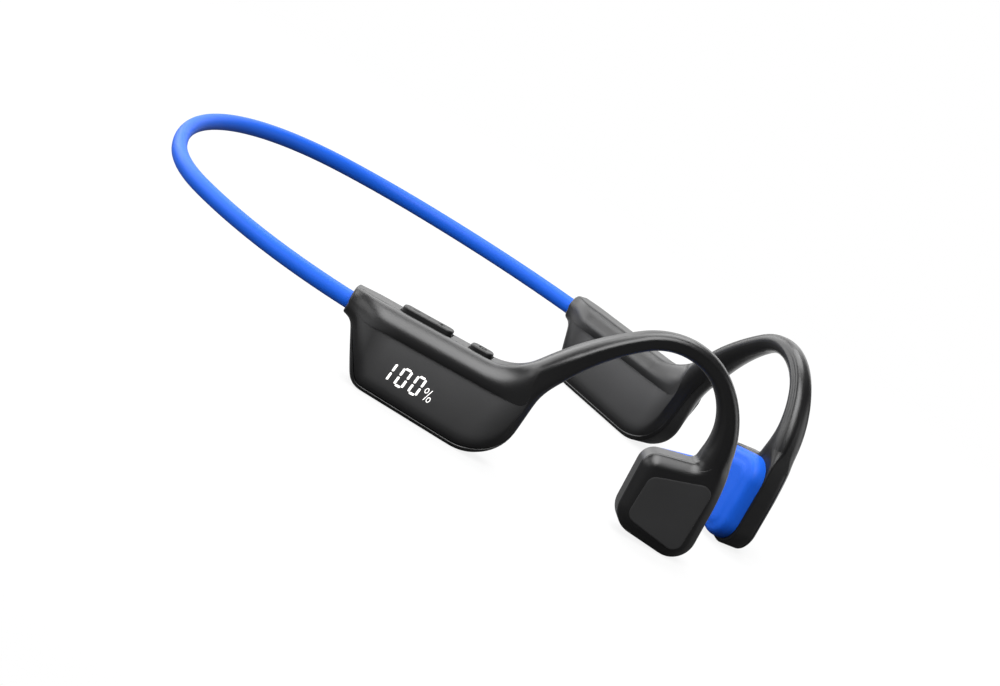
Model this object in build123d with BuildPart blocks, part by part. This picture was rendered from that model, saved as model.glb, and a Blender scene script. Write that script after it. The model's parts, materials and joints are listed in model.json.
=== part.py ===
from build123d import *
import os
from math import cos, radians, sin, tan

os.makedirs("parts", exist_ok=True)

# Open-ear bone conduction headphones. Millimetres and degrees.
# +X is the wearer's left, -Y is forward, +Z is up. The origin is under the middle of the
# whole headset, on the surface that it stands on.
# Each side lies in an upright wall that leans inward towards the front. In a wall, x runs
# forward along it, y is the height above the table and z points away from the head.

# ---- fits ----
slip_gap = 0.05
seat_gap = 0.1
button_gap = 0.25

# ---- neckband ----
band_height = 4.2
band_thickness = 3.6
band_back_height = 17.6
band_bend_x = 40.3
band_bend_forward = 13.1
band_bend_height = 16.0
band_side_x = 54.0
band_side_forward = 30.7
band_side_height = 15.1
collar_x = 60.1
collar_forward = 81.0
collar_height = 15.8
band_wire_diameter = 1.0
band_wire_rise = 0.95
band_cable_diameter = 0.8
band_cable_drop = 0.95
collar_socket_depth = 6.0
core_exit_radius = 0.95

# ---- walls ----
pod_toe = 18.0
hook_toe = 36.5
hook_bend = 46.0

# ---- pod casing ----
pod_thickness = 10.8
pod_skin = 1.3
collar_thickness = 6.8
collar_top = 19.8
collar_bottom = 13.1
collar_flare = 8.0
collar_flare_radius = 12.0
neck_taper_radius = 40.0
ridge_slope = 2.7
valley_x = 39.1
valley_radius = 12.0
neck_slope = 52.0
neck_length = 14.0
neck_inner_x = 47.4
neck_inner_height = 20.0
neck_inner_slope = 62.0
neck_inner_radius = 14.0
neck_thickness = 8.4
pod_front_x = 45.9
pod_front_radius = 11.0
pod_rear_x = 9.6
pod_rear_radius = 4.5
collar_throat_x = 2.4
collar_throat_height = 12.6
collar_throat_radius = 2.5
ridge_round = 3.2
pod_edge_round = 2.4
cavity_start = 8.0
cavity_chamfer = 1.2

# ---- face panel ----
panel_depth = 1.2
panel_rear_x = 11.0
panel_rear_lean = 2.2
panel_front_x = 43.4
panel_bottom = 2.7
panel_crease_drop = 5.6
panel_corner = 2.0
panel_front_corner = 8.5

# ---- display ----
digit_height = 4.2
digit_width = 2.2
digit_pitch = 3.7
digit_stroke = 0.55
digit_depth = 0.35
percent_lean = 30.0
digits_x = 17.0
digits_height = 8.6
display_board_length = 23.0
display_board_height = 9.6
board_thickness = 0.8

# ---- stack inside a pod ----
stack_x = 25.0
stack_height = 7.9
battery_length = 23.0
battery_height = 10.2
right_battery_depth = 4.0
left_battery_depth = 6.0
battery_edge_round = 1.0
main_board_length = 25.0
main_board_height = 10.4
carrier_rim = 1.5
board_chip = 5.0
chip_depth = 0.9

# ---- buttons, measured along the ridge and above it ----
button_width = 3.6
rocker_start = 11.2
rocker_length = 12.6
rocker_rise = 1.25
power_start = 28.5
power_length = 5.5
power_rise = 1.05
button_edge_round = 0.25
button_skirt = 3.6
button_foot = 0.4
foot_length = 1.6
power_flange = 0.4
power_flange_top = 1.6
rocker_pin_diameter = 1.0
rocker_pin_drop = 2.7
rocker_notch = 0.35
glyph_stroke = 0.28
glyph_size = 1.5
glyph_offset = 3.15
glyph_depth = 0.2
bracket_start = 10.2
bracket_length = 25.4
bracket_cheek = 0.5
bracket_top = 1.5
bracket_floor = 0.8
switch_height = 1.0
switch_size = 2.4
plunger_width = 0.9
plunger_height = 0.35
button_travel = 0.3

# ---- charging contacts and microphone, in the right inner shell ----
contact_diameter = 2.2
contact_pitch = 6.0
contact_x = 26.0
contact_height = 8.0
microphone_diameter = 3.0
microphone_depth = 1.0
microphone_x = 42.0
microphone_height = 9.0
sound_port_diameter = 0.8

# ---- ear hook ----
hook_root_x = 0.35
hook_root_height = 25.5
hook_root_slope = 57.7
hook_rise_radius = 58.5
hook_rise_turn = 22.1
hook_crown_radius = 16.9
hook_crown_turn = 76.7
hook_front_radius = 20.9
hook_front_turn = 45.0
hook_wire_diameter = 1.2
hook_wire_offset = 0.9
hook_lead_diameter = 0.8
hook_lead_offset = 0.9
hook_wire_tail = 4.0
# fraction of the hook's length, width in the wall, thickness across it
hook_sections = [
    (0.00, 6.7, 8.4),
    (0.15, 5.5, 7.2),
    (0.30, 4.6, 5.8),
    (0.45, 4.2, 4.9),
    (0.60, 4.4, 4.9),
    (0.75, 4.5, 5.4),
    (0.88, 5.4, 6.4),
    (1.00, 7.1, 7.2),
]

# ---- transducer housing, in the hook's wall ----
housing_outer = 4.2
housing_inner = -3.2
housing_skin = 1.2
housing_edge_round = 2.4
housing_rear_x = 28.7
housing_front_x = 49.0
housing_nose_x = 49.9
housing_nose_height = -0.6
housing_nose_radius = 5.5
housing_heel_height = 2.0
housing_heel_radius = 6.0
housing_heel_lean = 0.9
housing_shoulder_height = 20.3
housing_shoulder_radius = 3.8
housing_notch_x = 40.3
housing_notch_height = 22.7
housing_notch_radius = 1.6
housing_neck_top = 32.0
housing_neck_lean = 3.0
housing_brow_height = 19.0
housing_brow_radius = 60.0

# ---- cover inset in the housing's outer face ----
cover_depth = 0.6
cover_inset = 0.15
cover_rear_x = 31.7
cover_top = 15.8
cover_front_x = 46.6
cover_front_top = 20.4
cover_nose_height = 1.9
cover_heel_height = 5.0
cover_corner = 2.4

# ---- contact pad ----
pad_thickness = 4.0
pad_margin = 0.6
pad_front_top = 24.2
pad_edge_round = 1.5
pad_corner = 4.0

# ---- driver: a coil on the contact plate, and a magnet hung on a flat spring ----
driver_x = 39.2
driver_height = 10.8
driver_radius = 8.0
driver_rim = 0.6
plate_thickness = 0.8
spring_room = 0.4
spring_thickness = 0.25
spring_rim = 0.8
spring_arms = 3
spring_arm_width = 1.2
yoke_boss_radius = 1.2
yoke_boss_height = 0.3
yoke_wall = 0.7
yoke_floor = 0.9
magnet_radius = 3.8
magnet_depth = 1.4
pole_depth = 0.6
coil_wall = 0.6
coil_gap = 0.25
coil_depth = 2.2

# how far cutting tools run past the skins they cut
cut_margin = 2.0


def wall_plane(origin, toe):
    """Upright plane of the right side, turned inward by the toe angle."""
    return Plane(
        origin=origin,
        x_dir=(sin(radians(toe)), -cos(radians(toe)), 0),
        z_dir=(-cos(radians(toe)), -sin(radians(toe)), 0),
    )


def rounded_face(corners):
    """Closed flat face from a list of (x, y, corner radius)."""
    with BuildSketch() as face:
        with BuildLine():
            FilletPolyline(
                *[(x, y) for x, y, _ in corners],
                radius=[radius for _, _, radius in corners],
                close=True,
            )
        make_face()
    return face.sketch


def save(shape, name):
    shape.label = name
    export_step(shape, f"parts/{name}.step")


def save_pair(shape, name):
    """Write a right-hand piece and its mirrored left-hand twin."""
    save(shape, f"right_{name}")
    save(mirror(shape, about=Plane.YZ), f"left_{name}")


# ---- where things stand in the whole headset ----
bend_forward = collar_forward + hook_bend * cos(radians(pod_toe))
front_lean = (housing_nose_x - housing_front_x) / (housing_brow_height - housing_nose_height)
nose_forward = housing_nose_x - front_lean * housing_nose_radius
nose_reach = (
    bend_forward
    + (nose_forward - housing_edge_round) * cos(radians(hook_toe))
    + (housing_outer - housing_edge_round) * sin(radians(hook_toe))
    + housing_edge_round
)
overall_length = nose_reach + band_thickness / 2
back_y = overall_length / 2 - band_thickness / 2
collar_y = back_y - collar_forward
pod_wall = wall_plane((-collar_x, collar_y, 0), pod_toe)
hook_wall = wall_plane(pod_wall.from_local_coords((hook_bend, 0, 0)), hook_toe)
pod_half = pod_thickness / 2


# ---- neckband ----
with BuildLine() as left_band_path:
    back = TangentArc(
        (0, back_y, band_back_height),
        (band_bend_x, back_y - band_bend_forward, band_bend_height),
        tangent=(1, 0, 0),
    )
    corner = TangentArc(
        back @ 1,
        (band_side_x, back_y - band_side_forward, band_side_height),
        tangent=back % 1,
    )
    side = TangentArc(corner @ 1, (collar_x, collar_y, collar_height), tangent=corner % 1)
    Line(side @ 1, side @ 1 + (side % 1) * collar_socket_depth)

with BuildLine() as band_path:
    add(left_band_path.line)
    mirror(left_band_path.line, about=Plane.YZ)

band_route = Wire(band_path.edges().sort_by(Axis.X))
band_section = Plane(origin=band_route @ 0, x_dir=(0, 0, 1), z_dir=band_route % 0)

with BuildPart() as neckband_sleeve:
    with BuildSketch(band_section):
        Ellipse(band_height / 2, band_thickness / 2)
        with Locations((band_wire_rise, 0)):
            Circle(band_wire_diameter / 2 + slip_gap, mode=Mode.SUBTRACT)
        with Locations((-band_cable_drop, 0)):
            Circle(band_cable_diameter / 2 + slip_gap, mode=Mode.SUBTRACT)
    sweep(path=band_route)

with BuildPart() as neckband_wire:
    with BuildSketch(band_section):
        with Locations((band_wire_rise, 0)):
            Circle(band_wire_diameter / 2)
    sweep(path=band_route)

with BuildPart() as neckband_cable:
    with BuildSketch(band_section):
        with Locations((-band_cable_drop, 0)):
            Circle(band_cable_diameter / 2)
    sweep(path=band_route)

save(neckband_sleeve.part, "neckband_sleeve")
save(neckband_wire.part, "neckband_wire")
save(neckband_cable.part, "neckband_cable")

# ---- ear hook's centre line ----
with BuildLine(hook_wall) as hook_path:
    rise = JernArc(
        (hook_root_x, hook_root_height),
        (cos(radians(hook_root_slope)), sin(radians(hook_root_slope))),
        hook_rise_radius,
        -hook_rise_turn,
    )
    crown = JernArc(rise @ 1, rise % 1, hook_crown_radius, -hook_crown_turn)
    JernArc(crown @ 1, crown % 1, hook_front_radius, -hook_front_turn)

hook_line = hook_path.wire()
hook_start = Plane(origin=hook_line @ 0, x_dir=hook_wall.z_dir, z_dir=hook_line % 0)
hook_finish = Plane(origin=hook_line @ 1, x_dir=hook_wall.z_dir, z_dir=hook_line % 1)

with BuildLine() as hook_core_path:
    Line(hook_line @ 0 - (hook_line % 0) * hook_wire_tail, hook_line @ 0)
    add(hook_line)
    Line(hook_line @ 1, hook_line @ 1 + (hook_line % 1) * hook_wire_tail)

core_line = Wire(hook_core_path.edges())
core_start = Plane(origin=core_line @ 0, x_dir=hook_wall.z_dir, z_dir=core_line % 0)

# ---- pod: outer form ----
ridge_rise = tan(radians(ridge_slope))
valley_height = collar_top + valley_x * ridge_rise
neck_dx = neck_length * cos(radians(neck_slope))
neck_dy = neck_length * sin(radians(neck_slope))
inner_dx = neck_length * cos(radians(neck_inner_slope))
inner_dy = neck_length * sin(radians(neck_inner_slope))
pod_outline = [
    (0, collar_top, 0),
    (valley_x, valley_height, valley_radius),
    (valley_x + neck_dx, valley_height + neck_dy, 0),
    (neck_inner_x + inner_dx, neck_inner_height + inner_dy, 0),
    (neck_inner_x, neck_inner_height, neck_inner_radius),
    (pod_front_x, 0, pod_front_radius),
    (pod_rear_x, 0, pod_rear_radius),
    (collar_throat_x, collar_throat_height, collar_throat_radius),
    (0, collar_bottom, 0),
]
pod_plan = Plane(origin=pod_wall.origin, x_dir=pod_wall.x_dir, z_dir=(0, 0, 1))
pod_plan_outline = [
    (0, collar_thickness / 2, 0),
    (collar_flare, pod_half, collar_flare_radius),
    (valley_x, pod_half, neck_taper_radius),
    (neck_inner_x + neck_dx, neck_thickness / 2, 0),
    (neck_inner_x + neck_dx, -neck_thickness / 2, 0),
    (valley_x, -pod_half, neck_taper_radius),
    (collar_flare, -pod_half, collar_flare_radius),
    (0, -collar_thickness / 2, 0),
]
ridge_wall = Plane(
    origin=pod_wall.from_local_coords((0, collar_top, 0)),
    x_dir=pod_wall.from_local_coords((cos(radians(ridge_slope)), sin(radians(ridge_slope)), 0))
    - pod_wall.origin,
    z_dir=pod_wall.z_dir,
)
ridge_top = Plane(origin=ridge_wall.origin, x_dir=ridge_wall.x_dir, z_dir=ridge_wall.y_dir)


def above_spine(edge):
    """True for the pod's ridge, valley and upper neck, False for its lower edges."""
    place = pod_wall.to_local_coords(edge.center())
    climb = max(0, place.X - valley_x) * tan(radians(neck_slope))
    spine = (collar_top + collar_bottom) / 2 + climb
    return place.Y > spine


def on_side_face(edge):
    """True for an edge along the rim of an outer or inner face."""
    place = pod_wall.to_local_coords(edge.center())
    upright = abs((edge % 0.5).Z) > 0.9999
    return abs(place.Z) > collar_thickness / 4 and place.X > slip_gap and not upright


with BuildPart() as pod_form:
    with BuildSketch(pod_wall):
        add(rounded_face(pod_outline))
    extrude(amount=pod_half, both=True)
    with BuildSketch(pod_plan):
        add(rounded_face(pod_plan_outline))
    extrude(amount=valley_height + neck_dy + cut_margin, mode=Mode.INTERSECT)
    rim = pod_form.edges().filter_by(on_side_face)
    fillet(rim.filter_by(above_spine), ridge_round)
    rim = pod_form.edges().filter_by(on_side_face)
    fillet(rim.filter_by(lambda edge: not above_spine(edge)), pod_edge_round)
    split(bisect_by=hook_start, keep=Keep.BOTTOM)

# ---- pod: hollow, sockets, window and button pocket, as cutting tools ----
with BuildPart() as pod_cavity:
    with BuildSketch(pod_wall):
        offset(rounded_face(pod_outline), amount=-pod_skin)
        add(
            rounded_face([
                (cavity_start, -cut_margin, 0),
                (pod_front_x + cut_margin, -cut_margin, 0),
                (pod_front_x + cut_margin, collar_top, 0),
                (cavity_start, collar_top, 0),
            ]),
            mode=Mode.INTERSECT,
        )
    extrude(amount=pod_half - pod_skin, both=True)
    sides = pod_cavity.faces().sort_by(Axis(pod_wall.origin, pod_wall.z_dir))
    chamfer(sides[0].edges() + sides[-1].edges(), cavity_chamfer)

right_band_end = Vector(-(side @ 1).X, (side @ 1).Y, (side @ 1).Z)
right_band_run = Vector(-(side % 1).X, (side % 1).Y, (side % 1).Z)
collar_mouth = Plane(origin=right_band_end, x_dir=(0, 0, 1), z_dir=right_band_run)
with BuildPart() as collar_socket:
    with BuildSketch(collar_mouth.offset(-cut_margin)):
        Ellipse(band_height / 2 + slip_gap, band_thickness / 2 + slip_gap)
    extrude(amount=cut_margin + collar_socket_depth + slip_gap)

with BuildPart() as band_core_exit:
    with BuildSketch(collar_mouth):
        Circle(core_exit_radius)
    extrude(amount=cavity_start + cut_margin)

with BuildPart() as hook_core_entry:
    with BuildSketch(core_start.offset(-hook_wire_tail)):
        with Locations((0, hook_wire_offset)):
            Circle(hook_wire_diameter / 2 + slip_gap)
        with Locations((0, -hook_lead_offset)):
            Circle(hook_lead_diameter / 2 + slip_gap)
    extrude(amount=2 * hook_wire_tail + cut_margin)

crease_height = collar_top - panel_crease_drop
panel_outline = [
    (panel_rear_x - panel_rear_lean, crease_height + panel_rear_x * ridge_rise, panel_corner),
    (panel_front_x, crease_height + panel_front_x * ridge_rise, panel_corner),
    (panel_front_x, panel_bottom, panel_front_corner),
    (panel_rear_x, panel_bottom, panel_corner),
]
panel_floor = pod_wall.offset(pod_half - panel_depth)

with BuildPart() as panel_window:
    with BuildSketch(panel_floor.offset(-cut_margin)):
        add(rounded_face(panel_outline))
    extrude(amount=panel_depth + 2 * cut_margin)

with BuildPart() as face_panel:
    with BuildSketch(panel_floor):
        offset(rounded_face(panel_outline), amount=-slip_gap)
    extrude(amount=panel_depth)

bracket_half = button_width / 2 + seat_gap + bracket_cheek
pocket_half = bracket_half + seat_gap
bracket_depth = button_skirt + button_foot + button_travel + switch_height + board_thickness + bracket_floor


def along_ridge(x, rise, length, height, half_width):
    """Block along the ridge: x and length along it, rise above it to the block's top."""
    with BuildPart() as block:
        with BuildSketch(ridge_wall):
            with Locations((x + length / 2, rise - height / 2)):
                Rectangle(length, height)
        extrude(amount=half_width, both=True)
    return block.part


rocker_slot = along_ridge(
    rocker_start - button_gap,
    rocker_rise + cut_margin,
    rocker_length + 2 * button_gap,
    rocker_rise + cut_margin + bracket_top,
    button_width / 2 + button_gap,
)
power_slot = along_ridge(
    power_start - button_gap,
    power_rise + cut_margin,
    power_length + 2 * button_gap,
    power_rise + cut_margin + bracket_top,
    button_width / 2 + button_gap,
)
button_pocket = along_ridge(
    bracket_start - seat_gap,
    -pod_skin,
    bracket_length + 2 * seat_gap,
    bracket_depth - pod_skin + seat_gap,
    pocket_half,
)

# ---- pod: the two shells of each side, parted beside the button pocket ----
parting_plane = pod_wall.offset(-pocket_half)

with BuildPart() as left_outer_twin:
    add(pod_form.part)
    split(bisect_by=parting_plane, keep=Keep.TOP)
    add(pod_cavity.part, mode=Mode.SUBTRACT)
    add(collar_socket.part, mode=Mode.SUBTRACT)
    add(band_core_exit.part, mode=Mode.SUBTRACT)
    add(hook_core_entry.part, mode=Mode.SUBTRACT)
    add(panel_window.part, mode=Mode.SUBTRACT)

with BuildPart() as right_outer_shell:
    add(left_outer_twin.part)
    add(button_pocket, mode=Mode.SUBTRACT)
    add(rocker_slot, mode=Mode.SUBTRACT)
    add(power_slot, mode=Mode.SUBTRACT)

with BuildPart() as left_inner_twin:
    add(pod_form.part)
    split(bisect_by=parting_plane, keep=Keep.BOTTOM)
    add(pod_cavity.part, mode=Mode.SUBTRACT)
    add(collar_socket.part, mode=Mode.SUBTRACT)
    add(band_core_exit.part, mode=Mode.SUBTRACT)

inner_skin = pod_wall.offset(-pod_half)
contact_places = [
    (contact_x - contact_pitch / 2, contact_height),
    (contact_x + contact_pitch / 2, contact_height),
]
with BuildPart() as right_inner_shell:
    add(left_inner_twin.part)
    with BuildSketch(inner_skin):
        with Locations(*contact_places):
            Circle(contact_diameter / 2 + slip_gap)
        with Locations((microphone_x, microphone_height)):
            Circle(sound_port_diameter / 2)
    extrude(amount=pod_skin, mode=Mode.SUBTRACT)

save(mirror(left_outer_twin.part, about=Plane.YZ), "left_pod_outer_shell")
save(mirror(left_inner_twin.part, about=Plane.YZ), "left_pod_inner_shell")
save(right_outer_shell.part, "right_pod_outer_shell")
save(right_inner_shell.part, "right_pod_inner_shell")
save_pair(face_panel.part, "face_panel")

with BuildPart() as charging_contacts:
    with BuildSketch(inner_skin):
        with Locations(*contact_places):
            Circle(contact_diameter / 2)
    extrude(amount=pod_skin)
save(charging_contacts.part, "charging_contacts")

with BuildPart() as microphone:
    with BuildSketch(inner_skin.offset(pod_skin)):
        with Locations((microphone_x, microphone_height)):
            Circle(microphone_diameter / 2)
    extrude(amount=microphone_depth)
save(microphone.part, "microphone")


# ---- what the pods hold ----
def stacked_block(start, depth, length, height):
    """Block in the pod's stack, from one depth across the wall to the next."""
    with BuildPart() as block:
        with BuildSketch(pod_wall.offset(start)):
            with Locations((stack_x, stack_height)):
                Rectangle(length, height)
        extrude(amount=depth)
    return block.part


battery_start = -pod_half + pod_skin + seat_gap
with BuildPart() as right_battery:
    add(stacked_block(battery_start, right_battery_depth, battery_length, battery_height))
    fillet(right_battery.edges().filter_by(Axis(pod_wall.origin, pod_wall.z_dir)), battery_edge_round)

with BuildPart() as left_battery:
    add(stacked_block(battery_start, left_battery_depth, battery_length, battery_height))
    fillet(left_battery.edges().filter_by(Axis(pod_wall.origin, pod_wall.z_dir)), battery_edge_round)

right_board_start = battery_start + right_battery_depth + seat_gap
left_board_start = battery_start + left_battery_depth + seat_gap
digits_start = pod_half - panel_depth - digit_depth
display_board_start = digits_start - board_thickness
carrier_depth = display_board_start - right_board_start - board_thickness

with BuildPart() as main_board:
    add(stacked_block(right_board_start, board_thickness, main_board_length, main_board_height))
    with BuildSketch(pod_wall.offset(right_board_start + board_thickness)):
        with Locations((stack_x, stack_height)):
            Rectangle(board_chip, board_chip)
    extrude(amount=chip_depth)

with BuildPart() as board_carrier:
    add(stacked_block(
        right_board_start + board_thickness, carrier_depth, main_board_length, main_board_height))
    add(
        stacked_block(
            right_board_start + board_thickness,
            carrier_depth,
            main_board_length - 2 * carrier_rim,
            main_board_height - 2 * carrier_rim,
        ),
        mode=Mode.SUBTRACT,
    )

with BuildPart() as display_board:
    add(stacked_block(
        display_board_start, board_thickness, display_board_length, display_board_height))

with BuildPart() as radio_board:
    add(stacked_block(left_board_start, board_thickness, main_board_length, main_board_height))

save(right_battery.part, "right_battery")
save(mirror(left_battery.part, about=Plane.YZ), "left_battery")
save(main_board.part, "main_board")
save(board_carrier.part, "board_carrier")
save(display_board.part, "display_board")
save(mirror(radio_board.part, about=Plane.YZ), "radio_board")

# ---- display digits: one bar for each lit segment of 1, 0, 0 and a percent sign ----
half_digit = digit_height / 2
bar = half_digit - 2 * digit_stroke
with BuildPart() as display_digits:
    with BuildSketch(pod_wall.offset(digits_start)):
        for column in range(3):
            left = digits_x + (column - 1) * digit_pitch + digit_pitch - digit_width
            right = left + digit_width - digit_stroke
            uprights = [(right, half_digit / 2), (right, -half_digit / 2)]
            if column > 0:
                uprights += [(left, half_digit / 2), (left, -half_digit / 2)]
                with Locations(
                    ((left + right) / 2, digits_height + half_digit - digit_stroke / 2),
                    ((left + right) / 2, digits_height - half_digit + digit_stroke / 2),
                ):
                    Rectangle(bar, digit_stroke)
            with Locations(*[(x, digits_height + y) for x, y in uprights]):
                Rectangle(digit_stroke, bar)
        percent_x = digits_x + 2 * digit_pitch + digit_width
        with Locations((percent_x, digits_height - half_digit / 2)):
            Rectangle(digit_stroke / 2, half_digit, rotation=-percent_lean)
        with Locations(
            (percent_x - 2 * digit_stroke, digits_height - half_digit / 2 + digit_stroke),
            (percent_x + 2 * digit_stroke, digits_height - half_digit / 2 - digit_stroke),
        ):
            Circle(digit_stroke / 2)
    extrude(amount=digit_depth)
save(display_digits.part, "display_digits")

# ---- buttons and their bracket ----
rocker_middle = rocker_start + rocker_length / 2
power_middle = power_start + power_length / 2
foot_bottom = -button_skirt - button_foot
switch_top = foot_bottom - button_travel
foot_inset = foot_length / 2 + button_gap
rocker_feet = [rocker_start + foot_inset, rocker_start + rocker_length - foot_inset]
switch_places = rocker_feet + [power_middle]
pin_place = (rocker_middle, -rocker_pin_drop)


def button_blank(x, length, rise):
    """Button body with rounded top ends and edges, without its feet."""
    height = rise + button_skirt
    with BuildPart() as blank:
        add(along_ridge(x, rise, length, height, button_width / 2))
        top = blank.faces().sort_by(Axis(ridge_wall.origin, ridge_wall.y_dir))[-1]
        fillet(top.edges(), button_edge_round)
    return blank.part


with BuildPart() as volume_rocker:
    add(button_blank(rocker_start, rocker_length, rocker_rise))
    for x in rocker_feet:
        add(along_ridge(x - foot_length / 2, -button_skirt, foot_length, button_foot, foot_length / 2))
    with BuildSketch(ridge_wall):
        with Locations(pin_place):
            Circle(rocker_pin_diameter / 2 + slip_gap)
        with Locations((rocker_middle, rocker_rise)):
            Rectangle(rocker_notch, rocker_notch, rotation=45)
    extrude(amount=button_width, both=True, mode=Mode.SUBTRACT)
    with BuildSketch(ridge_top.offset(rocker_rise - glyph_depth)):
        with Locations((rocker_middle - glyph_offset, 0), (rocker_middle + glyph_offset, 0)):
            Rectangle(glyph_size, glyph_stroke)
        with Locations((rocker_middle + glyph_offset, 0)):
            Rectangle(glyph_stroke, glyph_size)
    extrude(amount=glyph_depth + seat_gap, mode=Mode.SUBTRACT)

with BuildPart() as power_button:
    add(button_blank(power_start, power_length, power_rise))
    add(along_ridge(
        power_start - power_flange,
        -power_flange_top,
        power_length + 2 * power_flange,
        button_skirt - power_flange_top,
        button_width / 2,
    ))
    add(along_ridge(
        power_middle - foot_length / 2, -button_skirt, foot_length, button_foot, foot_length / 2))
    with BuildSketch(ridge_top.offset(power_rise - glyph_depth)):
        with Locations((power_middle, 0)):
            Circle(glyph_size / 2)
            Circle(glyph_size / 2 - glyph_stroke, mode=Mode.SUBTRACT)
    extrude(amount=glyph_depth + seat_gap, mode=Mode.SUBTRACT)

with BuildPart() as rocker_pin:
    with BuildSketch(ridge_wall):
        with Locations(pin_place):
            Circle(rocker_pin_diameter / 2)
    extrude(amount=bracket_half, both=True)

switch_board_top = switch_top - switch_height
with BuildPart() as button_bracket:
    add(along_ridge(
        bracket_start, -bracket_top, bracket_length, bracket_depth - bracket_top, bracket_half))
    add(
        along_ridge(
            bracket_start - cut_margin,
            0,
            bracket_length + 2 * cut_margin,
            board_thickness - switch_board_top,
            bracket_half - bracket_cheek,
        ),
        mode=Mode.SUBTRACT,
    )
    with BuildSketch(ridge_wall):
        with Locations(pin_place):
            Circle(rocker_pin_diameter / 2)
    extrude(amount=bracket_half, both=True, mode=Mode.SUBTRACT)

with BuildPart() as switch_board:
    add(along_ridge(
        bracket_start, switch_board_top, bracket_length, board_thickness, bracket_half - bracket_cheek))

with BuildPart() as button_switches:
    for x in switch_places:
        add(along_ridge(
            x - switch_size / 2,
            switch_top - plunger_height,
            switch_size,
            switch_height - plunger_height,
            switch_size / 2,
        ))
        add(along_ridge(
            x - plunger_width / 2, switch_top, plunger_width, plunger_height, plunger_width / 2))

save(volume_rocker.part, "volume_rocker")
save(power_button.part, "power_button")
save(rocker_pin.part, "rocker_pin")
save(button_bracket.part, "button_bracket")
save(switch_board.part, "switch_board")
save(button_switches.part, "button_switches")

# ---- ear hooks ----
with BuildPart() as ear_hook:
    for fraction, width, thickness in hook_sections:
        with BuildSketch(
            Plane(
                origin=hook_line @ fraction,
                x_dir=hook_wall.z_dir,
                z_dir=hook_line % fraction,
            )
        ):
            Ellipse(thickness / 2, width / 2)
    loft()
    with BuildSketch(core_start):
        with Locations((0, hook_wire_offset)):
            Circle(hook_wire_diameter / 2 + slip_gap)
        with Locations((0, -hook_lead_offset)):
            Circle(hook_lead_diameter / 2 + slip_gap)
    sweep(path=core_line, mode=Mode.SUBTRACT)

with BuildPart() as hook_wire:
    with BuildSketch(core_start):
        with Locations((0, hook_wire_offset)):
            Circle(hook_wire_diameter / 2)
    sweep(path=core_line)

with BuildPart() as hook_leads:
    with BuildSketch(core_start):
        with Locations((0, -hook_lead_offset)):
            Circle(hook_lead_diameter / 2)
    sweep(path=core_line)

save_pair(ear_hook.part, "ear_hook")
save_pair(hook_wire.part, "hook_wire")
save_pair(hook_leads.part, "hook_leads")

# ---- transducer housing ----
housing_outline = [
    (housing_front_x - housing_neck_lean, housing_neck_top, 0),
    (housing_front_x, housing_brow_height, housing_brow_radius),
    (housing_nose_x, housing_nose_height, housing_nose_radius),
    (housing_rear_x + housing_heel_lean, housing_heel_height, housing_heel_radius),
    (housing_rear_x, housing_shoulder_height, housing_shoulder_radius),
    (housing_notch_x, housing_notch_height, housing_notch_radius),
    (housing_notch_x, housing_neck_top, 0),
]

cover_outline = [
    (cover_rear_x, cover_top, cover_corner),
    (cover_front_x, cover_front_top, cover_corner),
    (cover_front_x, cover_nose_height, cover_corner),
    (cover_rear_x, cover_heel_height, cover_corner),
]
pad_outline = [
    (housing_front_x - pad_margin, pad_front_top, pad_corner),
    (housing_nose_x - pad_margin, housing_nose_height + pad_margin, housing_nose_radius),
    (housing_rear_x + housing_heel_lean + pad_margin, housing_heel_height + pad_margin, housing_heel_radius),
    (housing_rear_x + pad_margin, housing_shoulder_height - pad_margin, pad_corner),
]
housing_back = hook_wall.offset(housing_inner)
housing_depth = housing_outer - housing_inner
cover_floor = hook_wall.offset(housing_outer - cover_inset - cover_depth)

# the hollow runs from the open inner side out to the skin under the cover
hollow_top = housing_outer - cover_inset - cover_depth - housing_skin
hollow_depth = hollow_top - housing_inner
driver_place = (driver_x, driver_height)

with BuildPart() as transducer_housing:
    with BuildSketch(housing_back):
        add(rounded_face(housing_outline))
    extrude(amount=housing_depth)
    outer_face = transducer_housing.faces().sort_by(Axis(hook_wall.origin, hook_wall.z_dir))[-1]
    fillet(outer_face.edges(), housing_edge_round)
    split(bisect_by=hook_finish, keep=Keep.TOP)
    with BuildSketch(housing_back):
        with Locations(driver_place):
            Circle(driver_radius + slip_gap)
    extrude(amount=hollow_depth, mode=Mode.SUBTRACT)
    with BuildSketch(cover_floor):
        add(rounded_face(cover_outline))
    extrude(amount=cover_depth + cut_margin, mode=Mode.SUBTRACT)
    with BuildSketch(hook_finish):
        with Locations((0, hook_wire_offset)):
            Circle(hook_wire_diameter / 2 + slip_gap)
        with Locations((0, -hook_lead_offset)):
            Circle(hook_lead_diameter / 2 + slip_gap)
    extrude(amount=2 * hook_wire_tail, mode=Mode.SUBTRACT)

with BuildPart() as transducer_cover:
    with BuildSketch(cover_floor):
        offset(rounded_face(cover_outline), amount=-slip_gap)
    extrude(amount=cover_depth)

with BuildPart() as contact_pad:
    with BuildSketch(housing_back):
        add(rounded_face(pad_outline))
    extrude(amount=-pad_thickness)
    inner_face = contact_pad.faces().sort_by(Axis(hook_wall.origin, hook_wall.z_dir))[0]
    fillet(inner_face.edges(), pad_edge_round)

save_pair(transducer_housing.part, "transducer_housing")
save_pair(transducer_cover.part, "transducer_cover")
save_pair(contact_pad.part, "contact_pad")


# ---- driver, a round stack inside the housing ----
def driver_ring(start, depth, outer, inner=0.0):
    """Disc or ring on the driver's axis, from one depth across the wall outward."""
    with BuildPart() as ring:
        with BuildSketch(hook_wall.offset(start)):
            with Locations(driver_place):
                Circle(outer)
                if inner > 0:
                    Circle(inner, mode=Mode.SUBTRACT)
        extrude(amount=depth)
    return ring.part


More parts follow.
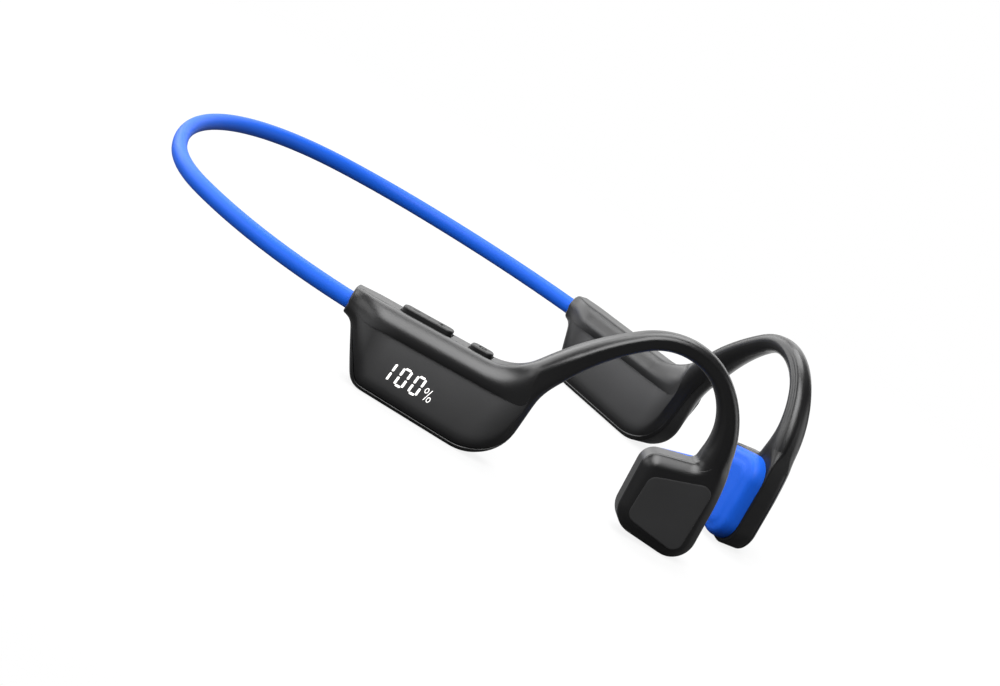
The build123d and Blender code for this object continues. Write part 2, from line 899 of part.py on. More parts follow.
plate_start = housing_inner
frame_start = plate_start + plate_thickness
frame_end = hollow_top - slip_gap
spring_end = hollow_top - spring_room
spring_start = spring_end - spring_thickness
yoke_end = spring_start - yoke_boss_height
magnet_end = yoke_end - yoke_floor
magnet_start = magnet_end - magnet_depth
yoke_start = magnet_start - pole_depth
coil_inner = magnet_radius + coil_gap
coil_outer = coil_inner + coil_wall
yoke_inner = coil_outer + coil_gap

with BuildPart() as contact_plate:
    add(driver_ring(plate_start, plate_thickness, driver_radius))

with BuildPart() as driver_frame:
    add(driver_ring(frame_start, frame_end - frame_start, driver_radius, driver_radius - driver_rim))

with BuildPart() as driver_coil:
    add(driver_ring(frame_start, coil_depth, coil_outer, coil_inner))

with BuildPart() as driver_yoke:
    add(driver_ring(magnet_end, yoke_floor, yoke_inner + yoke_wall))
    add(driver_ring(yoke_start, magnet_end - yoke_start, yoke_inner + yoke_wall, yoke_inner))
    add(driver_ring(yoke_end, yoke_boss_height, yoke_boss_radius))

with BuildPart() as driver_magnet:
    add(driver_ring(magnet_start, magnet_depth, magnet_radius))

with BuildPart() as driver_pole:
    add(driver_ring(yoke_start, pole_depth, magnet_radius))

with BuildPart() as driver_spring:
    add(driver_ring(
        spring_start,
        spring_thickness,
        driver_radius - driver_rim,
        driver_radius - driver_rim - spring_rim,
    ))
    add(driver_ring(spring_start, spring_thickness, yoke_boss_radius + spring_rim))
    with BuildSketch(hook_wall.offset(spring_start)):
        with Locations(driver_place):
            with PolarLocations(driver_radius / 2, spring_arms):
                Rectangle(driver_radius - 2 * driver_rim, spring_arm_width)
    extrude(amount=spring_thickness)

save_pair(contact_plate.part, "contact_plate")
save_pair(driver_frame.part, "driver_frame")
save_pair(driver_coil.part, "driver_coil")
save_pair(driver_yoke.part, "driver_yoke")
save_pair(driver_magnet.part, "driver_magnet")
save_pair(driver_pole.part, "driver_pole")
save_pair(driver_spring.part, "driver_spring")
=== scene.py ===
"""Looks of the open-ear bone conduction headphones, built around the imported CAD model.

Shapes are worked out in millimetres, in a side's own wall coordinates: s runs forward from the
collar, h is the height above the table and w points away from the head. The rows of a side's
form run down its pod, its ear hook and its transducer housing, and are cut into those pieces.
Places are turned into the row frame, and into metres, when a mesh is made.
"""

from functools import lru_cache
from math import cos, pi, radians, sin

import bpy
import numpy as np
from mathutils import Matrix, Vector
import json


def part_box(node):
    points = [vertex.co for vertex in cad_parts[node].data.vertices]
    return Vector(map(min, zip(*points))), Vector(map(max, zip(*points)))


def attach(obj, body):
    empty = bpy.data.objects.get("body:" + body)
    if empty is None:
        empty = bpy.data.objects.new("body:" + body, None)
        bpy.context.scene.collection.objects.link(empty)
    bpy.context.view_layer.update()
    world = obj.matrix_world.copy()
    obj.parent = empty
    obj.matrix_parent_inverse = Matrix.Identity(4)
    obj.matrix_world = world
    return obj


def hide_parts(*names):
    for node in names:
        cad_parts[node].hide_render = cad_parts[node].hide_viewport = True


bl_info = {
    "name": "Bone conduction headphones",
    "version": (1, 0, 0),
    "blender": (4, 5, 0),
    "location": "3D View > Sidebar > Headset",
    "description": "Makes the skins, pads, keys, display figures and stage of a headset",
    "category": "Object",
}

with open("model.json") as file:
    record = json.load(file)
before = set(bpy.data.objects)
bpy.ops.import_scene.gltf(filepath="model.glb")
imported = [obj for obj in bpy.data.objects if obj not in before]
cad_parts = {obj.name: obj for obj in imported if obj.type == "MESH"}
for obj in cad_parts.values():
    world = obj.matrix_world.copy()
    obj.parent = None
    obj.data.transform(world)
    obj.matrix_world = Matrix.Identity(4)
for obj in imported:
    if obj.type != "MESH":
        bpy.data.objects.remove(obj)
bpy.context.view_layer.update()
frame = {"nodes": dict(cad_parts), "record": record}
MM = 0.001

# ---- neckband: its section, and the ends of its arcs as (x, forward of the back, height) ----
BAND_HEIGHT = 4.2
BAND_THICKNESS = 3.6
BAND_BACK_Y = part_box("neckband_sleeve")[1].y / MM - BAND_THICKNESS / 2
BAND_STOPS = ((0, 0, 17.6), (40.3, 13.1, 16.0), (54.0, 30.7, 15.1), (60.1, 81.0, 15.8))

# ---- where the sides stand: the collar, and the wall's toe in the pod and in the hook ----
COLLAR_X = BAND_STOPS[-1][0]
COLLAR_Y = BAND_BACK_Y - BAND_STOPS[-1][1]
POD_TOE = radians(18.0)
HOOK_TOE = radians(36.5)
BEND_AT = 46.0
BEND_HALF = 4.0

# ---- pod outline: rounded corners are (s, h, radius) ----
COLLAR_TOP = 19.8
COLLAR_BOTTOM = 13.1
RIDGE_RISE = 0.0472
VALLEY = (39.1, 21.65, 12.0)
THROAT = (2.4, 12.6, 2.5)
POD_REAR = (9.6, 0, 4.5)
POD_FRONT = (45.9, 0, 11.0)
NECK = (47.4, 20.0, 14.0)
POD_HALF = 5.4

# ---- flat face: the crease over it, and where the panel starts and ends ----
CREASE_DROP = 5.6
PANEL_START = 3.5
PANEL_END = 41.0
PANEL_THICKNESS = 0.45
PANEL_BED = 0.6

# ---- keys: start and end along the ridge, section, gap round them, and pocket under them ----
ROCKER = (11.2, 23.8)
POWER = (28.5, 34.0)
KEY_HALF_WIDTH = 1.78
KEY_CORNER = 1.45
KEY_EDGE = 0.4
KEY_GAP = 0.18
POCKET_DEPTH = 0.9
KEY_CLEARANCE = 0.4

# ---- ear hook, as arcs: radius and turn in degrees ----
HOOK_START = (46.35, 25.5)
HOOK_SLOPE = 57.7
HOOK_ARCS = [(58.5, 22.1), (16.9, 76.7), (20.9, 45.0)]
HOOK_ROWS = 176
# fraction of the hook's length, width in the wall, thickness across it
HOOK_SECTIONS = np.array([
    (0.00, 6.7, 8.4),
    (0.15, 5.5, 7.2),
    (0.30, 4.6, 5.8),
    (0.45, 4.2, 4.9),
    (0.60, 4.4, 4.9),
    (0.75, 4.5, 5.4),
    (0.88, 5.4, 6.4),
    (1.00, 7.1, 7.2),
])

# ---- transducer housing: rounded corners are (s, h, radius) ----
HOUSING_MIDDLE = 0.5
HOUSING_HALF = 3.55
NOTCH = (86.3, 22.7, 1.6)
SHOULDER = (74.7, 20.3, 3.8)
HEEL = (75.6, 2.0, 6.0)
NOSE = (95.9, -0.6, 5.5)
BROW = (95.0, 19.0, 60.0)
GROOVE_FROM_MIDDLE = 1.36
GROOVE_WIDTH = 0.09
GROOVE_DEPTH = 0.2
COVER_CORNERS = [(77.75, 15.9, 2.4), (92.5, 20.3, 2.4), (92.5, 2.2, 2.4), (77.75, 5.0, 2.4)]
# inset from the outline, and w
COVER_RINGS = ((0.3, 3.0), (0.0, 3.1), (0.0, 4.03), (0.03, 4.09), (0.1, 4.12), (0.4, 4.12))
PAD_CORNERS = [(94.4, 24.2, 5.5), (95.3, 0.0, 6.0), (76.2, 2.6, 6.0), (75.3, 19.7, 5.5)]
# inset from the outline, and share of the pad's reach
PAD_PROFILE = np.array([
    (0.0, 0.0), (0.0, 0.3), (0.12, 0.5), (0.4, 0.68), (0.85, 0.8), (1.4, 0.86),
    (2.0, 0.89), (2.6, 0.92), (3.2, 0.965), (3.9, 0.995), (4.5, 1.0),
])

# ---- columns of a section: the crease's step, the lower zone, the lip and the parting ----
CREASE_STEP = 1.006
BOTTOM_REACH = 3.4
LIP = 1.0
LIP_WIDTH = 0.3
LIP_RISE = 0.22
ROLL_SHARE = 0.68
LOW_ROLL = 2.6
PARTING_TURN = 20.5

# ---- charging contacts and sound port, on the right pod's inner face ----
CONTACTS = ((23.0, 8.0), (29.0, 8.0))
CONTACT_RINGS = ((1.1, -1.1), (1.1, 0.02), (1.07, 0.07), (1.0, 0.1), (0.8, 0.1), (0.4, 0.12))
SOUND_PORT = (42.0, 9.0)
PORT_RINGS = ((0.75, -0.3), (0.75, 0.03), (0.7, 0.08), (0.52, 0.08), (0.44, 0.015), (0.05, 0.015))

# ---- display: height of its middle at the collar, right ends and width of the figures, half
# lengths and half width of their bars, and the percent sign's stroke and dots ----
FIGURE_LINE = 7.22
FIGURE_ENDS = (16.72, 20.52, 24.07)
FIGURE_WIDTH = 1.85
FIGURE_MIDDLE = 0.92
UPRIGHT_BAR = 0.97
LEVEL_BAR = 0.66
BAR_HALF = 0.28
STROKE = (26.33, -0.75, 1.5, 0.095, 78)
DOTS = ((25.58, 0.12), (27.02, -1.6))

# ---- rolls over the edges: lean in degrees at a share of the way in from the edge ----
SHOULDER_LEANS = (
    (0, 82), (0.03, 64), (0.12, 52), (0.25, 43), (0.4, 33), (0.55, 21), (0.68, 9), (0.77, 0),
    (0.9, -17), (1.0, -32),
)
BEVEL_LEANS = ((0, 78), (0.03, 60), (0.12, 47), (0.45, 37), (0.7, 19), (1.0, 0))
BEVEL = 3.4
HOOK_ROLL = 0.36

# ---- camera: its place in metres, its right and up directions, its lens and sensor ----
CAMERA_PLACE = (-0.70743, -0.30292, 0.19500)
CAMERA_RIGHT = (0.43797, -0.75148, 0.49342)
CAMERA_UP = (-0.00916, 0.54510, 0.83832)
LENS = 118.8
SENSOR = 36.0

# ---- lamps: name, place, what it aims at, size in metres and watts ----
LAMPS = (
    ("lamp_key", (-0.38, -0.13, 0.50), (-0.02, -0.02, 0.02), (0.44, 0.52), 7.0),
    ("lamp_over", (0.14, 0.16, 0.60), (-0.02, -0.02, 0.02), (0.60, 0.42), 6.0),
    ("lamp_back", (0.62, 0.30, 0.34), (0.0, 0.0, 0.02), (1.20, 0.45), 3.2),
    ("lamp_side", (0.0, 0.70, 0.32), (-0.02, 0.0, 0.02), (0.90, 0.60), 7.0),
    ("lamp_left", (-0.60, 0.50, 0.19), (0.0, 0.0, 0.02), (0.90, 0.36), 3.4),
    ("lamp_front", (0.32, -0.62, 0.20), (0.0, -0.02, 0.02), (0.50, 0.40), 1.3),
    ("lamp_rim", (0.32, 0.13, 0.005), (0.32, 0.13, 1.0), (0.50, 0.90), 1.5),
)


# ================================ curves and profiles ================================
def smooth(x, start, end):
    """0 before start, 1 after end, and 3x^2 - 2x^3 between them."""
    x = np.clip((np.asarray(x, float) - start) / (end - start), 0, 1)
    return x * x * (3 - 2 * x)


def eased(x, keys):
    """Value at x through (place, value) keys, with a level tangent at each key."""
    places, values = np.array(keys, float).T
    i = np.clip(np.searchsorted(places, x, side="right") - 1, 0, len(places) - 2)
    t = smooth((x - places[i]) / (places[i + 1] - places[i]), 0, 1)
    return values[i] + (values[i + 1] - values[i]) * t


def rounding(x):
    """Quarter circle: 0 at x = 0 with an upright tangent, 1 and level from x = 1 on."""
    return np.sqrt(np.clip(1 - (1 - np.clip(x, 0, 1)) ** 2, 0, 1))


def blurred(values, width):
    """Rows averaged with a bell of that many rows, the ends held where they are."""
    reach = int(3 * width)
    bell = np.exp(-0.5 * (np.arange(-reach, reach + 1) / width) ** 2)
    head = 2 * values[:1] - values[reach:0:-1]
    tail = 2 * values[-1:] - values[-2 : -reach - 2 : -1]
    padded = np.concatenate([head, values, tail])
    return np.stack(
        [np.convolve(column, bell / bell.sum(), "valid") for column in padded.T], axis=1
    )


def rounded_path(corners, step=0.1, closed=False):
    """Dense line of straight runs joined by arcs, from (x, y, radius) corners.

    An arc of radius r at a corner that turns by a starts r tan(a/2) before the corner, and
    its points are centre + r (sin, -cos) of the heading.
    """
    corners = np.array(corners, float)
    if closed:
        middle = (corners[:1] + corners[-1:]) / 2
        middle[0, 2] = 0
        corners = np.concatenate([middle, corners, middle])
    runs = [corners[:1, :2]]
    for before, corner, after in zip(corners[:-2], corners[1:-1], corners[2:]):
        heading = np.arctan2(*(corner[:2] - before[:2])[::-1])
        turn = np.arctan2(*(after[:2] - corner[:2])[::-1]) - heading
        turn = (turn + pi) % (2 * pi) - pi
        radius = max(corner[2], 0.01)
        start = corner[:2] - radius * abs(np.tan(turn / 2)) * np.array([cos(heading), sin(heading)])
        side = np.sign(turn)
        angles = heading + np.linspace(0, turn, max(3, int(radius * abs(turn) / step)))
        arc = np.stack([np.sin(angles) - sin(heading), cos(heading) - np.cos(angles)], axis=1)
        runs.append(start + side * radius * arc)
    runs.append(corners[-1:, :2])
    line = np.concatenate(runs)
    length = travelled(line)
    even = np.linspace(0, length[-1], int(length[-1] / step) + 1)
    line = np.stack([np.interp(even, length, line[:, k]) for k in range(2)], axis=1)
    return line[:-1] if closed else line


def travelled(line):
    """Length along a line up to each of its points."""
    return np.concatenate([[0], np.cumsum(np.linalg.norm(np.diff(line, axis=0), axis=1))])


def along(line, place):
    """Points of a line at the given lengths along it."""
    length = travelled(line)
    return np.stack([np.interp(place, length, line[:, k]) for k in range(line.shape[1])], axis=1)


def unit(vectors):
    """Vectors, one in each row, made one long."""
    return vectors / np.linalg.norm(vectors, axis=1)[:, None]


def left_normals(line):
    """Unit normals on the left of a flat line, at each of its points."""
    slope = np.gradient(line, axis=0)
    return unit(np.stack([-slope[:, 1], slope[:, 0]], axis=1))


def wall_points(s, h, w):
    """Wall coordinates of the right side to the row frame, still in millimetres.

    The wall's heading is the pod's toe, then grows evenly to the hook's toe over the bend, and
    x and y are the integrals of its sine and cosine. w is laid off square to the heading.
    """
    start = BEND_AT - BEND_HALF
    rate = (HOOK_TOE - POD_TOE) / (2 * BEND_HALF)
    in_bend = np.clip(s - start, 0, 2 * BEND_HALF)
    toe = POD_TOE + rate * in_bend
    before = np.minimum(s, start)
    after = np.maximum(s - start - 2 * BEND_HALF, 0)
    x = before * sin(POD_TOE) + (cos(POD_TOE) - np.cos(toe)) / rate + after * sin(HOOK_TOE)
    y = before * cos(POD_TOE) + (np.sin(toe) - sin(POD_TOE)) / rate + after * cos(HOOK_TOE)
    return np.stack(
        [-COLLAR_X + x - w * np.cos(toe), COLLAR_Y - y - w * np.sin(toe), h + 0 * s], axis=-1
    )


# ================================ one side's flowing form ================================
def hook_line(count):
    """Centre line of the ear hook and its heading: arcs whose headings fall at 1/radius."""
    lengths = [radius * radians(turn) for radius, turn in HOOK_ARCS]
    knots = np.concatenate([[0], np.cumsum(lengths)])
    headings = radians(HOOK_SLOPE) - np.concatenate(
        [[0], np.cumsum([radians(turn) for _, turn in HOOK_ARCS])]
    )
    place = np.linspace(0, knots[-1], count)
    heading = np.interp(place, knots, headings)
    middle = (heading[1:] + heading[:-1]) / 2
    step = place[1]
    line = np.array(HOOK_START) + np.concatenate([
        np.zeros((1, 2)),
        np.cumsum(np.stack([np.cos(middle), np.sin(middle)], axis=1) * step, axis=0),
    ])
    return line, heading, place / knots[-1]


@lru_cache
def outlines():
    """Upper and lower edge of a side's silhouette, as dense lines from the collar forward.

    The upper edge is the ridge, the hook's outer edge and the housing's front. The lower edge
    is the pod's rear, bottom and front, the hook's inner edge and the housing's back. The
    third line closes the housing's bottom between them.
    """
    line, heading, fraction = hook_line(700)
    half = np.interp(fraction, HOOK_SECTIONS[:, 0], HOOK_SECTIONS[:, 1]) / 2
    half = blurred(half[:, None], 25)
    square = np.stack([-np.sin(heading), np.cos(heading)], axis=1)
    outer = line + square * half
    inner = line - square * half
    pod_top = rounded_path([(0, COLLAR_TOP, 0), VALLEY, (*outer[0], 0)])
    pod_bottom = rounded_path(
        [(0, COLLAR_BOTTOM, 0), THROAT, POD_REAR, POD_FRONT, NECK, (*inner[0], 0)]
    )
    round_housing = rounded_path(
        [(*inner[-1], 0), NOTCH, SHOULDER, HEEL, NOSE, BROW, (*outer[-1], 0)], step=0.05
    )
    heel = np.argmin(np.linalg.norm(round_housing - HEEL[:2], axis=1))
    nose = np.argmin(np.linalg.norm(round_housing - NOSE[:2], axis=1))
    top = np.concatenate([pod_top[:-1], outer[:-1], round_housing[: nose - 1 : -1]])
    bottom = np.concatenate([pod_bottom[:-1], inner[:-1], round_housing[: heel + 1]])
    marks = {
        "top": (len(pod_top) - 1, len(pod_top) + len(outer) - 2, len(top) - 1),
        "bottom": (len(pod_bottom) - 1, len(pod_bottom) + len(inner) - 2, len(bottom) - 1),
    }
    return blurred(top, 6), blurred(bottom, 6), round_housing[heel : nose + 1], marks


def row_places():
    """Where each row of the form starts and ends, as lengths along the two outlines, and its zone.

    The zone grows from 0 to 1 along the pod, to 2 along the hook and to 3 along the housing. In
    the pod, rows are spaced along the ridge, closer at the ends of the keys' pockets, and each
    foot on the lower edge follows from a few matched pairs. On the hook both ends keep step. In
    the housing the pairs let the rows fan out from the neck to the bottom.
    """
    top, bottom, _, marks = outlines()
    top_length, bottom_length = travelled(top), travelled(bottom)
    pod_top, hook_top, last_top = [top_length[k] for k in marks["top"]]
    pod_bottom, hook_bottom, last_bottom = [bottom_length[k] for k in marks["bottom"]]
    fine = np.linspace(0, 0.5, 6)[:-1]
    ends = (np.array([ROCKER, POWER]) + [-KEY_GAP, KEY_GAP]).ravel()
    near = (ends[:, None] + np.array([-0.25, -0.12, -0.02, 0.02, 0.12, 0.25])).ravel()
    even = np.arange(0.6, pod_top - 0.2, 0.36)
    even = even[np.abs(even[:, None] - ends).min(axis=1) > 0.35]
    rows = np.sort(np.concatenate([fine, even, near, [pod_top]]))
    pairs = np.array([
        (0, 0), (3.0, 3.3), (6.5, 8.5), (10.5, 14.7), (14.5, 19.5), (32.5, 38.0),
        (37.5, 46.0), (41.5, 55.5), (pod_top - 2.2, pod_bottom - 4.5), (pod_top, pod_bottom),
    ])
    guide = np.linspace(0, pod_top, 400)
    matched = blurred(np.interp(guide, *pairs.T)[:, None], 14)[:, 0]
    feet = np.interp(rows, guide, matched)
    zones = [(rows, feet, rows / pod_top)]

    index_top = np.linspace(marks["top"][0], marks["top"][1], HOOK_ROWS + 1)[1:]
    index_bottom = np.linspace(marks["bottom"][0], marks["bottom"][1], HOOK_ROWS + 1)[1:]
    zones.append((
        np.interp(index_top, np.arange(len(top)), top_length),
        np.interp(index_bottom, np.arange(len(bottom)), bottom_length),
        1 + np.linspace(0, 1, HOOK_ROWS + 1)[1:],
    ))

    front, back = last_top - hook_top, last_bottom - hook_bottom
    pairs = np.array([
        (0, 0, 0), (0.10, 1.6, 2.6), (0.30, 4.4, 7.5), (0.48, 7.0, 13.5), (0.62, 10.6, 18.5),
        (0.9, front - 2.6, back - 3.0), (1, front, back),
    ])
    guide = np.linspace(0, 1, 400)
    slowing = np.sin(np.linspace(0, pi / 2, 30)[1:])
    t = np.concatenate([np.linspace(0, 0.86, 96)[1:], 0.86 + 0.14 * slowing])
    advance = [np.interp(guide, pairs[:, 0], pairs[:, k]) for k in (1, 2)]
    matched = blurred(np.stack(advance, axis=1), 14)
    zones.append((
        hook_top + np.interp(t, guide, matched[:, 0]),
        hook_bottom + np.interp(t, guide, matched[:, 1]),
        2 + t,
    ))
    return [np.concatenate(parts) for parts in zip(*zones)]


def column_places(reach, foot, span):
    """Distances from the upper edge of each column, one row of them per row of the form.

    reach is how far the crest's zone goes down, foot how far the lower zone comes up, and
    span the whole distance. Both zones crowd their columns towards the edges as 1 - cos does,
    and hold pairs that are close together at the parting, the crease and the lip. The marks are
    the columns at the crease, the lip and the parting on either edge.
    """
    turns = np.sort(np.append(np.linspace(0, 90, 16), [PARTING_TURN, PARTING_TURN + 2.0]))
    roll = 1 - np.cos(np.radians(turns))
    crest = np.concatenate([ROLL_SHARE * roll, np.linspace(ROLL_SHARE, 1.0, 9)[1:]])
    low = np.concatenate([
        LOW_ROLL * roll, LIP + LIP_WIDTH * np.linspace(0, 1, 5), [BOTTOM_REACH - 0.4, BOTTOM_REACH]
    ])
    low = np.sort(low)[::-1]
    between = np.linspace(0, 1, 13)[1:-1]
    crest_part = reach[:, None] * crest
    after_crease = reach[:, None] * CREASE_STEP
    low_part = span[:, None] - foot[:, None] * low / BOTTOM_REACH
    middle = after_crease + (low_part[:, :1] - after_crease) * between
    places = np.concatenate([crest_part, after_crease, middle, low_part], axis=1)
    parting = LOW_ROLL * (1 - cos(radians(PARTING_TURN)))
    lip_column = np.argmin(abs(low - LIP - LIP_WIDTH))
    marks = {
        "crease": crest.size,
        "lip": places.shape[1] - low.size + int(lip_column),
        "parting_top": int(np.argmin(abs(turns - PARTING_TURN))),
        "parting_bottom": int(low.size - 1 - np.argmin(abs(low - parting))),
    }
    return places, marks


def distance_to(points, line):
    """Shortest distance from each point to a line of straight runs."""
    start, run = line[:-1], np.diff(line, axis=0)
    offset = points[:, None, :] - start
    share = np.clip((offset * run).sum(-1) / (run * run).sum(-1), 0, 1)
    return np.linalg.norm(offset - share[..., None] * run, axis=-1).min(axis=1)


def crease_line(s):
    """Height of the straight crease under the ridge."""
    return COLLAR_TOP - CREASE_DROP + RIDGE_RISE * s


def crease_strength(s):
    """How deep the face is let in under the ridge: full in the middle, nothing at the ends."""
    return smooth(s, 4.0, 13.0) * (1 - smooth(s, 38.5, 44.0))


def face_depth(s, h):
    """How far the flat face lies below the pod's full thickness, with a slight crown."""
    up = np.clip((h - 2.0) / (crease_line(s) - 2.0), 0, 1)
    return crease_strength(s) * (0.45 + 1.2 * (up - 0.5) ** 2)


@lru_cache
def rolled(leans):
    """Rise of a roll over its share of the way in from an edge, its highest point at 1.

    The surface's lean at a few places, in degrees, is turned into a slope, tan(lean), and the
    slopes are added up. Where the lean is negative the roll turns under.
    """
    share, lean = np.array(leans).T
    fine = np.linspace(0, 1, 800)
    slope = np.tan(np.radians(np.interp(fine, share, lean)))
    rise = np.cumsum(slope)
    return fine, rise / rise.max()


def pod_half(s):
    """Half thickness of a pod along the wall: it flares from the collar."""
    return eased(s, [(0, 3.4), (9.0, POD_HALF), (38.0, POD_HALF), (52.0, 4.2)])


def edge_normals(line, place, sign):
    """Unit normals at the given lengths along a line: on its right for sign 1, left for -1."""
    length, left = travelled(line), left_normals(line)
    return -sign * np.stack([np.interp(place, length, left[:, k]) for k in range(2)], axis=1)


class SideForm:
    """One side's surface as rows and columns, in wall coordinates.

    A row runs from a point of the upper edge to its match on the lower edge. A face stands over
    the row at w = middle + half thickness - drop, where the drop is what a roll still lacks of
    its full rise near each edge, and where the flat face is let in.
    """

    def __init__(self):
        top, bottom, _, _ = outlines()
        self.top_place, self.bottom_place, self.zone = row_places()
        self.upper, self.lower = along(top, self.top_place), along(bottom, self.bottom_place)
        self.down = edge_normals(top, self.top_place, 1)
        self.up = edge_normals(bottom, self.bottom_place, -1)
        self.span = np.linalg.norm(self.lower - self.upper, axis=1)
        self.past_pod = smooth(self.upper[:, 0], 40.6, 42.4)
        self.hooked = smooth(self.zone, 0.85, 1.0) * (1 - smooth(self.zone, 1.88, 2.3))
        self.in_housing = smooth(self.zone, 1.88, 2.3)
        self.crest, self.reach, self.foot = self.reaches()
        self.places, self.marks = column_places(self.reach, self.foot, self.span)
        self.left = self.span[:, None] - self.places
        self.on_face = self.places > 1.003 * self.reach[:, None]
        self.grid = self.settled(self.bridged())
        self.edge = self.edge_distance()
        self.in_pod = ((self.zone < 1) * (1 - smooth(self.upper[:, 0], 36.5, 42.0)))[:, None]
        self.marks["zone"] = self.zone
        self.marks["painted_light_and_marks"] = self.painted_light_and_marks()

    def reaches(self):
        """How far down each row meets the crease's line, and the reaches of its two end zones.

        The first is the height over the line, divided by how fast the row falls towards it.
        The reaches are held to a share of the row's span, and are slimmer at the neck.
        """
        zone, chord = self.zone, self.lower - self.upper
        facing_top = np.clip((chord * self.down).sum(axis=1) / self.span, 0.25, 1)
        facing_low = np.clip(-(chord * self.up).sum(axis=1) / self.span, 0.25, 1)
        housing = smooth(zone, 2.0, 2.2)
        leaving = 1 - smooth(zone, 0.99, 1.1)
        neck = 1 - 0.5 * smooth(zone, 0.89, 0.95) * leaving
        slim = 1 - 0.6 * smooth(zone, 0.82, 0.9) * leaving
        over_line = self.upper[:, 1] - crease_line(self.upper[:, 0])
        fall = np.maximum(RIDGE_RISE * self.down[:, 0] - self.down[:, 1], 0.3)
        crest = np.clip(over_line / fall, 2.0, 9.0)
        share = 0.5 + 0.12 * smooth(zone, 0.06, 0.14) - 0.12 * self.past_pod
        most = np.minimum(share * self.span * facing_top, 9.0)
        reach = np.minimum(crest * (1 - housing) + 2.8 * housing, most) * neck
        foot = np.minimum(BOTTOM_REACH - 1.1 * housing, 0.36 * self.span * facing_low) * slim
        return crest, *blurred(np.stack([reach, foot], axis=1), 2).T

    def bridged(self):
        """The rows: straight in from both edges, and a cubic between the two stretches.

        With p and q the ends of the stretches, d and u the normals of the edges, k half the
        distance from p to q, and t from 0 to 1, the cubic is
        (1 + 2t)(1 - t)^2 p + t(1 - t)^2 k d + t^2(3 - 2t) q + t^2(1 - t) k u.
        """
        upper, lower = self.upper[:, None], self.lower[:, None]
        down, up = self.down[:, None], self.up[:, None]
        first = (self.reach * CREASE_STEP)[:, None]
        p = upper + down * first[..., None]
        q = lower + up * self.foot[:, None, None]
        pull = 0.5 * np.linalg.norm(q - p, axis=2)[..., None]
        t = (self.places - first) / (self.span[:, None] - first - self.foot[:, None])
        t = np.clip(t, 0, 1)[..., None]
        bridge = (
            (1 + 2 * t) * (1 - t) ** 2 * p + t * (1 - t) ** 2 * pull * down
            + t**2 * (3 - 2 * t) * q + t**2 * (1 - t) * pull * up
        )
        grid = np.where(t <= 0, upper + down * self.places[..., None], bridge)
        return np.where(t >= 1, lower + up * self.left[..., None], grid)

    def settled(self, grid):
        """The rows again, the housing's last ones led over to the curve of its bottom edge."""
        floor = outlines()[2][::-1]
        share = self.places / self.span[:, None]
        even = np.linspace(0, 1, 400)
        line = along(floor, even * travelled(floor)[-1])
        rising = -left_normals(line)
        height = np.maximum((3 - self.zone) * 26.0, 0)[:, None, None]
        curved = np.stack([np.interp(share, even, line[:, k]) for k in range(2)], axis=-1)
        curved += height * np.stack([np.interp(share, even, rising[:, k]) for k in range(2)], axis=-1)
        share = share[..., None]
        to_upper, to_lower = self.upper[:, None] - curved[:, :1], self.lower[:, None] - curved[:, -1:]
        curved = curved + (1 - share) * to_upper + share * to_lower
        settle = smooth(self.zone, 2.55, 2.9)[:, None, None]
        return (1 - settle) * grid + settle * curved

    def edge_distance(self):
        """How far in from the edges each point lies; in the housing its bottom edge counts too."""
        top, bottom, floor, _ = outlines()
        edge = np.minimum(self.places, self.left)
        late = self.zone > 1.85
        ring = np.concatenate([
            bottom[travelled(bottom) >= self.bottom_place[late][0]], floor[1:],
            top[::-1][travelled(top)[::-1] >= self.top_place[late][0]],
        ])
        near = distance_to(self.grid[late].reshape(-1, 2), ring[::2]).reshape(edge[late].shape)
        weight = smooth(self.zone[late], 1.86, 2.0)[:, None]
        edge[late] = edge[late] * (1 - weight) + near * weight
        return edge

    def painted_light_and_marks(self):
        """1 where painted light makes the casing pale: on the flat face up to the crease, and a little by
        the collar.
        """
        s, h = self.grid[..., 0], self.grid[..., 1]
        up_face = np.clip((h - 1.0) / (crease_line(s) - 1.0), 0, 1)
        # painted light by the collar, kept away from the upper edge
        painted_collar_light = 0.6 * (1 - smooth(s, 6.0, 15.0)) * smooth(self.places, 2.0, 5.0)
        # painted light on the flat face, paler towards the crease
        pale = np.where(self.on_face, smooth(s, 4.0, 14.0) * (0.5 + 0.5 * up_face), 0) * self.in_pod
        # the painted light fades out near the lower edge, leaving it darker there
        return np.maximum(pale, painted_collar_light * (self.zone < 1)[:, None]) * smooth(self.left, 1.6, 5.5)

    def half_thickness(self):
        """Half the thickness of the pod, of the hook and of the housing, led into each other."""
        in_hook = np.interp(self.zone - 1, HOOK_SECTIONS[:, 0], HOOK_SECTIONS[:, 2]) / 2
        half = pod_half(self.grid[..., 0])
        half = half + (blurred(in_hook[:, None], 5) - half) * smooth(self.zone, 0.72, 1.0)[:, None]
        return half + (HOUSING_HALF - half) * smooth(self.zone, 1.9, 2.3)[:, None]

    def walls_and_rolls(self):
        """Half height of the upright walls along the edges, and the width of the rolls above them.

        Each has a value for the upper and one for the lower edge, led over in the row's middle.
        """
        past_hook = [(1.2, 0.3), (1.86, 0.3)]
        wall_top = eased(self.zone, [
            (0, 1.2), (0.12, 2.05), (0.8, 2.05), (1.0, 0.5), *past_hook, (2.36, 1.5), (3, 1.5)])
        wall_low = eased(self.zone, [
            (0, 1.2), (0.2, 2.7), (0.8, 2.7), (1.0, 0.5), *past_hook, (2.2, 1.5), (3, 1.5)])
        rolls = []
        for width in (3.8 + 0.6 * self.past_pod, LOW_ROLL):
            roll = np.minimum(width, 0.5 * self.span) * (1 - self.hooked)
            roll = roll + HOOK_ROLL * self.span * self.hooked
            rolls.append(roll * (1 - self.in_housing) + 3.0 * self.in_housing)
        lower_half = smooth(self.places / self.span[:, None], 0.35, 0.65)
        wall = wall_top[:, None] * (1 - lower_half) + wall_low[:, None] * lower_half
        roll = rolls[0][:, None] * (1 - lower_half) + rolls[1][:, None] * lower_half
        return wall, roll, rounding(self.left / rolls[1][:, None])

